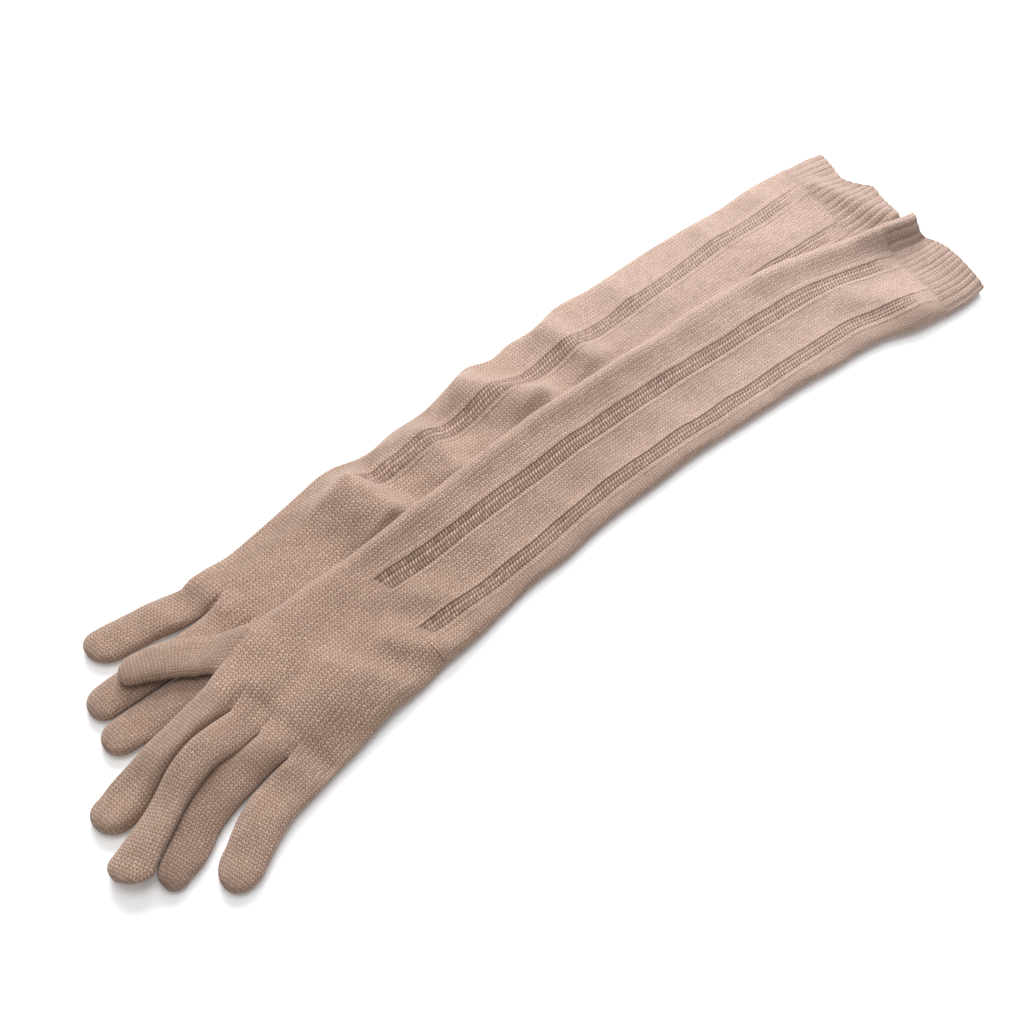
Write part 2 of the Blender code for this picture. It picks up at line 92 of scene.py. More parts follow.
# Upper edge x y, lower edge x y, height of the roll, all in millimetres
ROWS = {
    "over_sleeve": (
        (-80, 28.6, -80, -40.1, 7.4), (-60, 27.4, -60, -39.9, 7.2), (-40, 27.7, -40, -38.2, 7),
        (-20, 28.2, -20, -37, 6.8), (0, 28.3, 0, -38, 6.8), (20, 28.2, 20, -36.9, 6.8),
        (40, 27.4, 40, -37.4, 6.8), (60, 25.3, 60, -38.7, 6.8), (80, 23.7, 80, -39.6, 6.8),
        (100, 21.8, 100, -41.6, 6.8), (120, 20, 120, -44.3, 6.8), (140, 18.8, 139, -46.5, 6.9),
        (160, 16.3, 157, -49, 7), (178, 12.9, 173, -52, 7.2), (196, 8.6, 189, -54.2, 7.4),
        (213, 3, 205, -58, 7.6), (230, -3.6, 220, -64.8, 7.8), (249.2, -10.3, 238.2, -69.5, 7.8)),
    "over_cuff": (
        (249.2, -10.3, 238.2, -69.5, 7.8), (256, -12, 245, -70.6, 7.8),
        (264, -14.3, 254, -71.8, 7.8), (273, -16.3, 265.5, -71.6, 8)),
    "over_hand": (
        (-80, 28.6, -80, -40.1, 7.4), (-96, 30.4, -96, -41.6, 7.4), (-113, 31.5, -112, -41.8, 7.4),
        (-129, 32.8, -127, -43.4, 7.6), (-141, 30.6, -139, -44.9, 7.8),
        (-152, 27.4, -149, -45.8, 8), (-161, 24.8, -156, -46.6, 8.2),
        (-168, 22.6, -161, -47.3, 8.2)),
    "over_thumb": (
        (-124, 29, -158, 20, 4), (-129.5, 33, -161, 25.6, 6.2), (-137.5, 36, -164.4, 28.4, 7.4),
        (-145.5, 39.2, -167.5, 30.2, 7.8), (-154, 45, -170, 32.6, 8), (-163, 51, -174.5, 36.2, 8),
        (-172, 55.4, -180, 40, 8), (-179.5, 57.8, -186, 44, 7.6)),
    "over_index": (
        (-168, 22.6, -166.4, 6, 8.2), (-180, 21.2, -178.5, 7, 8.4), (-192, 19.8, -190, 6.6, 8.4),
        (-204, 18.8, -202, 4.2, 8.4), (-216, 17.8, -214, 0.1, 8.2), (-227, 17, -225, -3.2, 7.8),
        (-234, 16, -232, -3.6, 7.4)),
    "over_middle": (
        (-166.4, 5.8, -164.8, -10.4, 8.2), (-178.5, 6.4, -176.8, -10.4, 8.6),
        (-190, 6, -187.9, -9.8, 9), (-202.5, 3.6, -198.6, -11.7, 9.2),
        (-214.5, -0.4, -208.3, -14.5, 9.2), (-226.5, -4.4, -218.8, -19.5, 9),
        (-238, -7.6, -231, -25.3, 8.6), (-245.5, -9.6, -239.2, -29.6, 8)),
    "over_ring": (
        (-164.7, -10.6, -163, -27.6, 8.2), (-177, -10, -176, -26.9, 7.8),
        (-188.5, -9, -187.5, -27.8, 7.2), (-199, -10.6, -197.5, -29.5, 6.6),
        (-209, -13.4, -205.5, -31.9, 6.2), (-219, -18.4, -213.5, -36, 6.2),
        (-228, -23, -222.5, -39, 6.4), (-232, -25, -228, -39.8, 6.4)),
    "over_little": (
        (-162.9, -27.8, -161, -47.3, 8.2), (-174, -27.5, -170, -48.2, 7.8),
        (-184, -28.5, -178.5, -49.6, 7.8), (-193, -31.2, -187.5, -52.4, 7.8),
        (-201.5, -35.4, -196.5, -56.2, 7.6), (-208.5, -39.4, -204.5, -60, 7.4)),
    "under_sleeve": (
        (-46, 76.6, -46, 1, 7.6), (-30, 71.4, -30, 1, 7.2), (-12, 72.3, -12, 2, 7),
        (8, 71, 8, 3, 6.8), (28, 73.9, 28, 4, 7), (40, 75.8, 40, 5, 7.2), (54, 71, 54, 5, 6.8),
        (66, 71.8, 66, 5, 6.8), (80, 70, 80, 5, 6.8), (100, 72, 100, 5, 7),
        (120, 68.7, 120, 4, 6.8), (142, 66.9, 141, 2, 6.8), (164, 65.1, 161, 0, 6.8),
        (186, 62.3, 181, -3, 6.8), (208, 58.8, 201, -6, 7), (230, 57.6, 222, -9, 7),
        (249.2, 54.2, 240.2, -11.5, 7.2)),
    "under_cuff": (
        (249.2, 54.2, 240.2, -11.5, 7.2), (257, 51.8, 250, -12.5, 7.2), (266, 50, 260, -13.5, 7.2),
        (275, 47, 271, -13, 7.4)),
    "under_hand": (
        (-46, 76.6, -46, 1, 7.6), (-54, 77.7, -54, 0.5, 7.4), (-64, 76.9, -64, 0, 7.4),
        (-80, 75.4, -80, -0.5, 7.2), (-98, 74, -98, -1, 7.2), (-116, 73.1, -113, -1, 7.2),
        (-131, 75, -123, 0, 7.4), (-142, 73.6, -130, 1, 7.4)),
    "under_little": (
        (-142, 73.6, -139.1, 56.1, 7.4), (-151, 76.6, -147, 56.4, 7.6), (-160, 79, -156, 58, 7.8),
        (-169, 81, -165, 60.8, 7.8), (-178, 83.2, -174.5, 62.8, 7.6),
        (-185, 84.6, -183, 64.6, 7.2)),
    "under_ring": (
        (-139.1, 55.9, -136.2, 38, 7.4), (-152, 55.4, -148, 37.4, 7.6),
        (-166, 56.6, -163, 38.4, 7.8), (-180, 58.8, -178, 40.6, 7.8), (-192, 60.2, -191, 42, 7.6),
        (-202, 60.6, -202, 43.1, 7.2)),
    "under_middle": (
        (-136.1, 37.8, -133.2, 19.6, 7.4), (-150, 36.8, -148, 19.2, 7.6),
        (-166, 37.8, -165, 20.2, 7.8), (-182, 40, -181, 21.5, 7.8), (-196, 41.6, -195, 22.5, 7.6),
        (-207.5, 42.4, -207, 24.4, 7.2)),
    "under_index": (
        (-133.1, 19.4, -130, 1, 7.4), (-147, 18.6, -147, 0.6, 7.2), (-163, 19.6, -163, 1.6, 7.2),
        (-179, 20.6, -179, 3, 7), (-192, 21, -192, 4.4, 6.8)),
    "under_thumb": (
        (-120, 1, -94, 0, 4), (-122, -0.9, -96, -1.7, 5.6), (-125.5, -2, -104, -9.4, 6),
        (-130, -2.6, -113, -15.6, 6), (-138, -3.6, -124.5, -19.4, 6), (-147, -6.4, -137, -22.2, 6),
        (-154, -9.4, -147, -24, 5.6)),
}

# Far end of each closed fingertip, x y
TIPS = {
    "over_thumb": (-192, 54), "over_index": (-242.6, 6.6),
    "over_middle": (-251.4, -20), "over_ring": (-238.2, -35.6),
    "over_little": (-219.8, -54), "under_thumb": (-160.5, -18),
    "under_index": (-202, 13.2), "under_middle": (-216.6, 33.6),
    "under_ring": (-210.8, 51.8), "under_little": (-193.4, 75.8)}

# Openwork stripes: x, then upper edge and width of the far stripe and of the near one
STRIPES = {
    "over": (
        (-80, 10.7, 8.6, -19.5, 6.6), (-20, 9, 8.4, -21.8, 6.6), (40, 7.2, 8.2, -21, 6.8),
        (100, 2.5, 7.8, -26.6, 6.6), (150, -3.9, 7.6, -32.8, 6.2), (185, -8.6, 7.4, -37, 6),
        (200, -11.6, 7, -39.6, 5.8), (212, -15.8, 6.6, -43.6, 5.6), (225, -21, 6.2, -48.6, 5.4),
        (249, -28.2, 5.6, -56, 5)),
    "under": (
        (-46, 59.6, 8.6, 28, 7.6), (-13, 58.2, 8.4, 28, 7.6), (16, 55.6, 8.2, 28, 7.6),
        (45, 53.8, 7.8, 26.5, 7.6), (58, 51.4, 7.6, 25.5, 7.6), (74, 50.6, 7.4, 24.5, 7.6),
        (105, 48.6, 7.2, 23, 7.4), (144, 46.4, 7, 20.5, 7), (189, 44.4, 6.6, 14.6, 6.6),
        (217, 41.2, 6.4, 11.6, 6.4), (249, 38.8, 6, 7.8, 6.2)),
}

# How far the open edge of each cuff waves along x, at points across from its lower side
WAVES = {
    "over": ((-1, 0), (-0.5, 0.8), (0.05, 1.4), (0.35, 0), (0.6, -4), (0.8, -3.6),
             (1, 0)),
    "under": ((-1, 0), (-0.5, 0.8), (-0.15, 1.6), (0.05, -2.8), (0.3, -5.6),
              (0.6, -3.2), (1, 0))}

# Creases of the laid cloth: from x y to x y, lift, and how wide it falls off left and right
FOLDS = {
    "over": (
        (-72, -42, -91, -18, 2.6, 6, 10), (-62, -14, -82, 4, 1.6, 9, 10),
        (-104, -38, -122, -8, 2.8, 18, 8), (240, -11, 268, -22, 2.4, 5, 6),
        (248, -26, 268, -32, -1.8, 6, 7), (230, -59, 206, -28, 2.4, 9, 10),
        (-157, 2, -152, -44, -2, 5, 10), (-236, 0, -180, 9, 1.6, 5, 5),
        (-118, 19, -68, 15, 1.5, 13, 9)),
    "under": (
        (-47, 33, -50, 61, 11, 21, 9), (-28, 56, -26, 70, 2, 7, 8), (-6, 31, -3, 60, 5.6, 16, 7),
        (55, 18, 51, 33, 5.5, 12, 8), (51, 33, 29, 68, 7, 15, 8), (88, 34, 84, 64, 5, 10, 8),
        (-134, 50, -136, 76, 2.5, 6, 8), (-157, 58, -160, 80, 1.6, 6, 7),
        (266, -9, 252, 31, 2.8, 7, 7), (126, 50, 127, 64, 1.6, 9, 8),
        (188, 50, 189, 62, 1.8, 8, 8), (225, 42, 225, 56, 1.6, 8, 8)),
}

# Digits laid across a neighbour: how far their lower and upper sides are raised, mm
RAISED = {"over_middle": (4.8, 1.2), "over_ring": (0.0, 2.4)}
# Painted shade: a digit painted darker as if the finger lying over it shaded it, and by how much
SHADED = {"over_ring": 0.42}  # a digit that looks darker than the others, and by how much
RISE_LENGTH = 26.0  # from its root to where it is fully raised and shaded, mm
DIGITS = ("thumb", "index", "middle", "ring", "little")
SLOTS = {"sleeve": "sleeve_knit", "cuff": "cuff_rib", "hand": "hand_knit"}
KNITS = {"sleeve_knit": "sleeve stockinette", "cuff_rib": "cuff ribbing",
         "hand_knit": "hand stockinette", "finger_knit": "finger stockinette"}
TONES = {"sleeve_knit": 0.90, "cuff_rib": 0.82, "hand_knit": 0.91, "finger_knit": 0.93}

# The camera's bearing and tilt in degrees and its height in metres, its lens and sensor in mm
CAMERA_TURN, CAMERA_TILT, CAMERA_HIGH = 44.0, 57.5, 0.80
CAMERA_LENS, CAMERA_SENSOR = 70.0, 36.0
# Lamps: name, place in metres, side in metres, power in watts, colour
LAMPS = (("key", (1.2, 1.5, 1.45), 1.4, 60.0, (1.0, 1.0, 1.0)),
         ("top light", (0.1, 0.1, 2.0), 1.2, 18.0, (1.0, 1.0, 1.0)),
         ("cuff light", (0.41, 0.10, 0.30), 0.3, 1.1, (0.78, 0.89, 1.0)),
         ("finger light", (-0.62, 0.10, 0.42), 0.3, 0.35, (1.0, 1.0, 1.0)))
SKY_STRENGTH, FLOOR_GLOW = 0.23, 0.12


# ---- shape helpers
def smooth(xs, ys, at):
    """A curve through the points (xs, ys), read at the given places."""
    xs, ys = np.asarray(xs, float), np.asarray(ys, float)
    gap = np.diff(xs)
    slope = np.diff(ys) / gap
    tangent = np.empty_like(ys)
    tangent[0], tangent[-1] = slope[0], slope[-1]
    tangent[1:-1] = (slope[:-1] * gap[1:] + slope[1:] * gap[:-1]) / (gap[1:] + gap[:-1])
    k = np.clip(np.searchsorted(xs, at) - 1, 0, len(gap) - 1)
    h = gap[k]
    t = (at - xs[k]) / h
    return ((1 + 2 * t) * (1 - t) ** 2 * ys[k] + t * (1 - t) ** 2 * h * tangent[k]
            + t * t * (3 - 2 * t) * ys[k + 1] + t * t * (t - 1) * h * tangent[k + 1])


def ease(x):
    """From 0 to 1 with soft ends."""
    x = np.clip(x, 0.0, 1.0)
    return x * x * (3.0 - 2.0 * x)


def bump(x, width):
    """A soft hill of height 1 about 0."""
    return np.exp(-(x / width) ** 2)


def rows_of(name, step):
    """Table rows read every step mm along a smooth line, and the distances."""
    table = np.array(ROWS[name], float)
    mid = (table[:, 0:2] + table[:, 2:4]) / 2.0
    dist = np.concatenate(([0.0], np.cumsum(np.hypot(*np.diff(mid, axis=0).T))))
    count = int(round(dist[-1] / step)) + 1
    at = np.linspace(0.0, dist[-1], count)
    return np.stack([smooth(dist, table[:, k], at) for k in range(5)], axis=1), at


def close_tip(rows, at, tip):
    """The rows with more of them that round a digit off to its tip, and their distances."""
    last = rows[-1]
    mid, half = (last[0:2] + last[2:4]) / 2.0, (last[0:2] - last[2:4]) / 2.0
    reach = np.array(tip) - mid
    turn = np.linspace(0.0, np.pi / 2.0, TIP_STEPS + 1)[1:-1, None]
    far, wide = np.sin(turn), np.cos(turn) ** 0.85
    centre = mid + far * reach
    more = np.hstack((centre + half * wide, centre - half * wide, last[4] * (0.35 + 0.65 * wide)))
    return np.vstack((rows, more)), np.append(at, at[-1] + far * np.hypot(*reach))


def roll(s, square, soft):
    """Height of a flattened roll's section at the place s across it, from -1 to 1."""
    return (1.0 - np.minimum(np.abs(s), 1.0) ** square) ** (1.0 / soft)


def even_spans(count, half, high, square, soft):
    """Places across a roll that are evenly far apart along its surface."""
    s = np.sin(np.linspace(-np.pi / 2, np.pi / 2, 800))
    z = roll(s, square, soft) * high / 2.0
    run = np.concatenate(([0.0], np.cumsum(np.hypot(np.diff(s * half), np.diff(z)))))
    return np.interp(np.linspace(0.0, run[-1], count), run, s)


def over_top(count, section, rows):
    """Spans of columns spread evenly over the top of each row."""
    return np.tile(even_spans(count, *section), (len(rows), 1))


def underneath(count, section, rows):
    """Spans of the columns on the way back underneath, without the two side edges."""
    return np.tile(even_spans(count, *section)[-2:0:-1], (len(rows), 1))


def ripple(x, y, seed, size, count=14):
    """Soft uneven swell of laid cloth, between about -1 and 1."""
    rng = np.random.default_rng(seed)
    total = np.zeros_like(x)
    for _ in range(count):
        angle = rng.uniform(0.0, np.pi)
        wave = 2.0 * np.pi / (size * rng.uniform(0.6, 1.7))
        total += np.sin(wave * (x * np.cos(angle) + y * np.sin(angle)) + rng.uniform(0, 6.28))
    return total / np.sqrt(count)


def fold_lift(side, x, y):
    """Lift of the creases at x, y."""
    total = np.zeros_like(x)
    for x0, y0, x1, y1, lift, left, right in FOLDS[side]:
        along = np.array((x1 - x0, y1 - y0), float)
        length = np.hypot(*along)
        along /= length
        t = (x - x0) * along[0] + (y - y0) * along[1]
        off = (x - x0) * along[1] - (y - y0) * along[0]
        past = np.maximum(np.maximum(-t, t - length), 0.0)
        wide = np.where(off < 0.0, left, right)
        total += lift * np.exp(-(off / wide) ** 2 - (past / FOLD_END) ** 2)
    return total


def crown(side, spans, x):
    """How thick the laid glove is across itself, against its own mean height."""
    sleeve = np.clip((x - CROWN_FROM) / CROWN_BLEND, 0.0, 1.0)
    if side == "under":
        shape = np.minimum(0.60 + 0.60 * (spans + 1.0), 1.08 - 0.25 * (spans + 0.2))
        shape = shape - 0.04 * bump(spans + 0.2, 0.15)
    else:
        crest = 0.90 - 0.07 * ease((x - 215.0) / 35.0)
        rise = 0.50 - 0.16 * ease((x - 110.0) / 70.0) + 0.16 * ease((x - 232.0) / 22.0)
        shape = 1.0 + rise * bump(spans - crest, 0.18) - 0.13 * bump(spans - 0.42, 0.28)
    return 1.0 + sleeve * (shape - 1.0)


def blur(field, sigma):
    """The grid smoothed by a soft hill, sigma steps wide."""
    reach = int(3 * sigma)
    weight = np.exp(-0.5 * (np.arange(-reach, reach + 1) / sigma) ** 2)
    weight /= weight.sum()
    for axis in (0, 1):
        padded = np.pad(field, [(reach, reach) if a == axis else (0, 0) for a in (0, 1)], "edge")
        field = sum(w * np.take(padded, range(k, k + field.shape[axis]), axis=axis)
                    for k, w in enumerate(weight))
    return field


class Carrier:
    """The surface under the upper glove: the lower one's tops, widened and eased to the floor."""
    field = None
    low = (-275.0, -95.0)
    high = (295.0, 110.0)
    reach = 38.0  # how far away a top still carries, mm
    level = (9.0, 3.0)  # how far it carries without falling, along x and y, mm
    soft = 2.0  # blur in steps of the grid

    @staticmethod
    def lower_tops(xs, ys):
        """Top of the lower glove's solids over each point of the grid, or far below it."""
        tops = np.full((len(xs), len(ys)), -50.0)
        for name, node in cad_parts.items():
            if not name.startswith("under_"):
                continue
            points = [Vector(((v.co.x / MM) + CENTRE[0], (v.co.y / MM) + CENTRE[1],
                              v.co.z / MM)) for v in node.data.vertices]
            tree = BVHTree.FromPolygons(points, [p.vertices for p in node.data.polygons])
            box = np.array(points)
            for i in np.flatnonzero((xs > box[:, 0].min()) & (xs < box[:, 0].max())):
                for j in np.flatnonzero((ys > box[:, 1].min()) & (ys < box[:, 1].max())):
                    hit = tree.ray_cast(Vector((xs[i], ys[j], 60.0)), Vector((0, 0, -1)))
                    if hit[0] is not None:
                        tops[i, j] = max(tops[i, j], hit[0].z)
        return tops

    @classmethod
    def make(cls):
        xs = np.arange(cls.low[0], cls.high[0], FIELD_STEP)
        ys = np.arange(cls.low[1], cls.high[1], FIELD_STEP)
        tops = cls.lower_tops(xs, ys)
        gentle, steep = np.zeros_like(tops), np.zeros_like(tops)
        reach = int(cls.reach / FIELD_STEP)
        for di in range(-reach, reach + 1):
            for dj in range(-reach, reach + 1):
                away = np.hypot(max(abs(di) * FIELD_STEP - cls.level[0], 0.0),
                                max(abs(dj) * FIELD_STEP - cls.level[1], 0.0))
                moved = np.roll(np.roll(tops, di, axis=0), dj, axis=1) + LIFT_GAP
                gentle = np.maximum(gentle, moved - SLEEVE_SLOPE * away)
                steep = np.maximum(steep, moved - FINGER_SLOPE * away)
        share = np.clip((xs - SLOPE_FROM) / (SLOPE_TO - SLOPE_FROM), 0.0, 1.0)[:, None]
        cls.field = blur(share * gentle + (1.0 - share) * steep, cls.soft)

    @classmethod
    def at(cls, x, y):
        if cls.field is None:
            cls.make()
        f = cls.field
        fx = np.clip((x - cls.low[0]) / FIELD_STEP, 0, f.shape[0] - 1.001)
        fy = np.clip((y - cls.low[1]) / FIELD_STEP, 0, f.shape[1] - 1.001)
        i, j = fx.astype(int), fy.astype(int)
        u, v = fx - i, fy - j
        return ((1 - u) * (1 - v) * f[i, j] + u * (1 - v) * f[i + 1, j]
                + (1 - u) * v * f[i, j + 1] + u * v * f[i + 1, j + 1])


def base_of(side):
    """What a glove lies on, as a height at x, y."""
    return Carrier.at if side == "over" else (lambda x, y: np.zeros_like(x))


# ---- meshes
def cloth_lift(side, x, y):
    """Lift of a laid glove's cloth at x, y: its creases and a soft uneven swell."""
    seed = 11 if side == "over" else 23
    swell = 0.5 * ripple(x, y, seed, 46.0) + 0.2 * ripple(x, y, seed + 5, 17.0)
    return fold_lift(side, x, y) + swell


def tube_points(side, rows, top_s, low_s, top_f, low_f, wave=None, crowned=True):
    """Points of a flattened tube, mm: one ring a row, over the top and back underneath."""
    spans = np.concatenate((top_s, low_s), axis=1)
    high, low = rows[:, None, 0:2], rows[:, None, 2:4]
    flat = (high + low) / 2.0 + spans[:, :, None] * (high - low) / 2.0
    if wave is not None:
        flat[:, :, 0] += wave(spans)
    x, y = flat[:, :, 0], flat[:, :, 1]
    n = top_s.shape[1]
    half = np.repeat(rows[:, None, 4] / 2.0, spans.shape[1], axis=1)
    if crowned:
        half = half * crown(side, spans, x)
    z = base_of(side)(x, y) + half
    z[:, :n] += half[:, :n] * top_f
    z[:, n:] -= half[:, n:] * np.minimum(1.0, low_f * LOW_FULL)
    lifting = np.minimum(1.0, top_f * LIFT_SPREAD) ** 2
    z[:, :n] += cloth_lift(side, x[:, :n], y[:, :n]) * lifting
    return np.stack((x, y, z), axis=2)


def ring_normals(points):
    """Outward direction at each point of a tube."""
    across = np.roll(points, -1, axis=1) - np.roll(points, 1, axis=1)
    along = np.gradient(points, axis=0)
    normal = np.cross(across, along)
    normal /= np.maximum(np.linalg.norm(normal, axis=2, keepdims=True), 1e-9)
    top = normal[len(normal) // 2, points.shape[1] // 4, 2]
    return normal if top > 0 else -normal


def linked(name, data):
    """A new object of the data, in the scene."""
    thing = bpy.data.objects.new(name, data)
    bpy.context.scene.collection.objects.link(thing)
    return thing


def mesh_object(name, points, faces, corners, painted_shade):
    """A mesh in the part's frame from points in mm, with its stitch grid and its painted shade."""
    mesh = bpy.data.meshes.new(name)
    mesh.from_pydata(((points - np.array((*CENTRE, 0.0))) * MM).tolist(), [], faces)
    layer = mesh.uv_layers.new(name=STITCH_UV)
    layer.data.foreach_set("uv", np.array(corners, np.float32).ravel())
    dark = mesh.attributes.new(PAINTED_SHADE, "FLOAT", "POINT")
    values = np.zeros(len(points), np.float32)
    values[:len(painted_shade)] = painted_shade
    dark.data.foreach_set("value", values)
    return linked(name, mesh)


def tube_mesh(name, points, wales, courses, painted_shade=(), tip=None):
    """A tube of rings of points, closed at its end where a tip is given."""
    rings, around = points.shape[:2]
    verts = points.reshape(-1, 3)
    faces, corners = [], []
    ring, column = rings // 2, around // 4
    turn = np.cross(points[ring, column + 1] - points[ring, column],
                    points[ring + 1, column] - points[ring, column])

    def corner(r, k):
        return r * around + k % around, wales[k], courses[r]

    def add_face(*picks):
        picks = picks[::-1] if turn[2] < 0 else picks
        faces.append([pick[0] for pick in picks])
        corners.extend(pick[1:] for pick in picks)

    for r in range(rings - 1):
        for k in range(around):
            add_face(corner(r, k), corner(r, k + 1), corner(r + 1, k + 1), corner(r + 1, k))
    if tip is not None:
        verts = np.vstack((verts, tip))
        for k in range(around):
            pole = (len(verts) - 1, (wales[k] + wales[k + 1]) / 2.0, courses[rings - 1] + 1.0)
            add_face(corner(rings - 1, k), corner(rings - 1, k + 1), pole)
    thing = mesh_object(name, verts, faces, corners, np.ravel(painted_shade))
    thing.data.validate()
    return thing


def select_only(thing):
    bpy.ops.object.select_all(action="DESELECT")
    thing.select_set(True)
    bpy.context.view_layer.objects.active = thing


def thicken(thing, thickness):
    """The cloth's own thickness, inside the modelled surface."""
    select_only(thing)
    bpy.ops.object.modifier_add(type="SOLIDIFY")
    modifier = thing.modifiers[-1]
    modifier.thickness = thickness
    modifier.offset = -1.0
    modifier.use_even_offset = False
    bpy.ops.object.modifier_apply(modifier=modifier.name)
    bpy.ops.object.shade_smooth_by_angle(angle=np.radians(SHARP_ANGLE))


def finish_piece(thing, side, kind):
    """Gives a piece its knit and its body, and hides the solid that it stands for."""
    node = side + "_" + kind
    slot = SLOTS.get(kind, "finger_knit")
    thing.data.materials.clear()
    thing.data.materials.append(bpy.data.materials[KNITS[slot]])
    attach(thing, "root")
    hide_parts(node)


def wales_round(ring, first, per_half):
    """Wale number of each column of a ring, from its lower side edge and all the way round."""
    step = np.linalg.norm(np.roll(ring, -1, axis=0) - ring, axis=1)
    run = np.concatenate(([0.0], np.cumsum(step)))
    return first + run / run[-1] * 2.0 * per_half


# ---- stripes
def stripe_at(side, x):
    """Upper edge and width of the far stripe, then of the near one, at x."""
    table = np.array(STRIPES[side], float).T
    return [smooth(table[0], table[k], x) for k in (1, 2, 3, 4)]


# Stretches across a sleeve from its near edge, and how many columns each has
PLAIN, RIDGE, BAND, STEP, LIP = range(5)
STRETCHES = ((PLAIN, 14), (RIDGE, 8), (BAND, 14), (STEP, 2), (LIP, 4), (PLAIN, 15),
             (RIDGE, 8), (BAND, 14), (STEP, 2), (LIP, 4), (PLAIN, 13))
RIDGE_REACH, STEP_REACH, LIP_REACH = 3.2, 0.6, 2.6  # widths of those stretches, mm
LADDER = 0.97  # share of a band that its ladder fills
BAR_ROWS = 3  # rows of bars across a ladder
BAR_WIDE, BAR_TALL = 1.0, 0.08  # size of a bar along and above the sleeve, mm
BAR_LEAN, BAR_STAGGER = 3.44, 0.16  # slant over a whole band in mm, and shift from row to row
# Painted shade on the bars: most on the row under the lip, and most at that row's far end
BAR_SHADES = ((0.0, 0.0), (0.0, 0.1), (0.12, 0.45))  # each row's darkness, and at its far end
BAR_WALE = 0.25  # where on a stitch the yarn of a bar is taken from
BARS_START, BARS_SLANT = 2.2, 3.6  # where bars start, and how much later at the near side, mm
OPENWORK = {"over": 1.0, "under": 0.55}  # strength of each glove's openwork
FADE_FROM, FADE_LENGTH, FADE_OUT = 90.0, 190.0, 0.6  # how it fades towards the cuff, mm and share
BANDS = [k for k, (kind, _) in enumerate(STRETCHES) if kind == BAND]


def sleeve_columns(rows, side):
    """Spans of a sleeve's columns that keep to its stripes, and each column's place in them."""
    x = (rows[:, 0] + rows[:, 2]) / 2.0
    mid = (rows[:, 1] + rows[:, 3]) / 2.0
    half = (rows[:, 1] - rows[:, 3]) / 2.0
    far, far_wide, near, near_wide = stripe_at(side, x)
    marks = [rows[:, 3]]
    for top, wide, seed, sway in ((near, near_wide, 7, 0.6), (far, far_wide, 5, 0.35)):
        edge = top + sway * ripple(x, x * 0.0 + 9.0, seed, 27.0)
        marks += [top - wide - RIDGE_REACH, top - wide, edge, edge + STEP_REACH,
                  edge + STEP_REACH + LIP_REACH]
    marks.append(rows[:, 1])
    spans, kinds = [], []
    for k, (kind, count) in enumerate(STRETCHES):
        t = np.linspace(0.0, 1.0, count, endpoint=False)
        if k == 0:
            t = t ** 1.7
        if k == len(STRETCHES) - 1:
            t = 1.0 - (1.0 - t) ** 1.7
        for f in t:
            spans.append(marks[k] + (marks[k + 1] - marks[k]) * f)
            kinds.append((k, kind, f))
    spans.append(marks[-1])
    kinds.append((len(STRETCHES) - 1, PLAIN, 1.0))
    return (np.array(spans).T - mid[:, None]) / half[:, None], kinds


def stripe_relief(kinds, at, depth, ridge, weight):
    """Lift and painted shade of each column at each distance: ladder ground, rails and ridge."""
    lift = np.zeros((len(at), len(kinds)))
    painted_shade = np.zeros_like(lift)
    fade = (1.0 - FADE_OUT * ease((at - FADE_FROM) / FADE_LENGTH)) * weight
    depth = depth * (0.55 + 0.45 * fade)
    left = at[-1] - at
    end = ease((left - 6.0) / 10.0)
    for c, (k, kind, f) in enumerate(kinds):
        if k == 0:
            lift[:, c] = 0.13 * (-1) ** c * ease(f * 4.0) * ease((1.0 - f) * 6.0)
        if kind == BAND:
            start = ease((at - 1.2 - BARS_SLANT * (1.0 - f)) / 0.9)
            # painted shade of the band's ground seen through the ladder, darker towards the lip
            # above it
            shade = float(ease((f - 0.62) / 0.38))
            lift[:, c] = -depth * 0.6 * start * end
            painted_shade[:, c] = (0.42 + 0.25 * shade) * start * end * fade
        if kind == STEP and f == 0.0:
            start = ease((at - 1.2) / 0.9)
            lift[:, c] = -0.45 * depth * start * ease((left - 4.0) / 8.0)
            # painted shadow of the lip along the band's upper edge
            painted_shade[:, c] = 0.4 * start * end * fade
        if kind == LIP or (kind == STEP and f > 0.0):
            away = (f * LIP_REACH) if kind == LIP else 0.0
            lift[:, c] = 0.75 * ridge * (1.0 - ease(away / 2.4)) * ease((at - 1.0) / 1.5)
        if kind == RIDGE:
            start = ease((at - 4.5) / 1.5)
            away = (1.0 - f) * RIDGE_REACH
            lift[:, c] = 0.8 * ridge * float(bump(away - 1.9, 0.5)) * start
    return lift, painted_shade


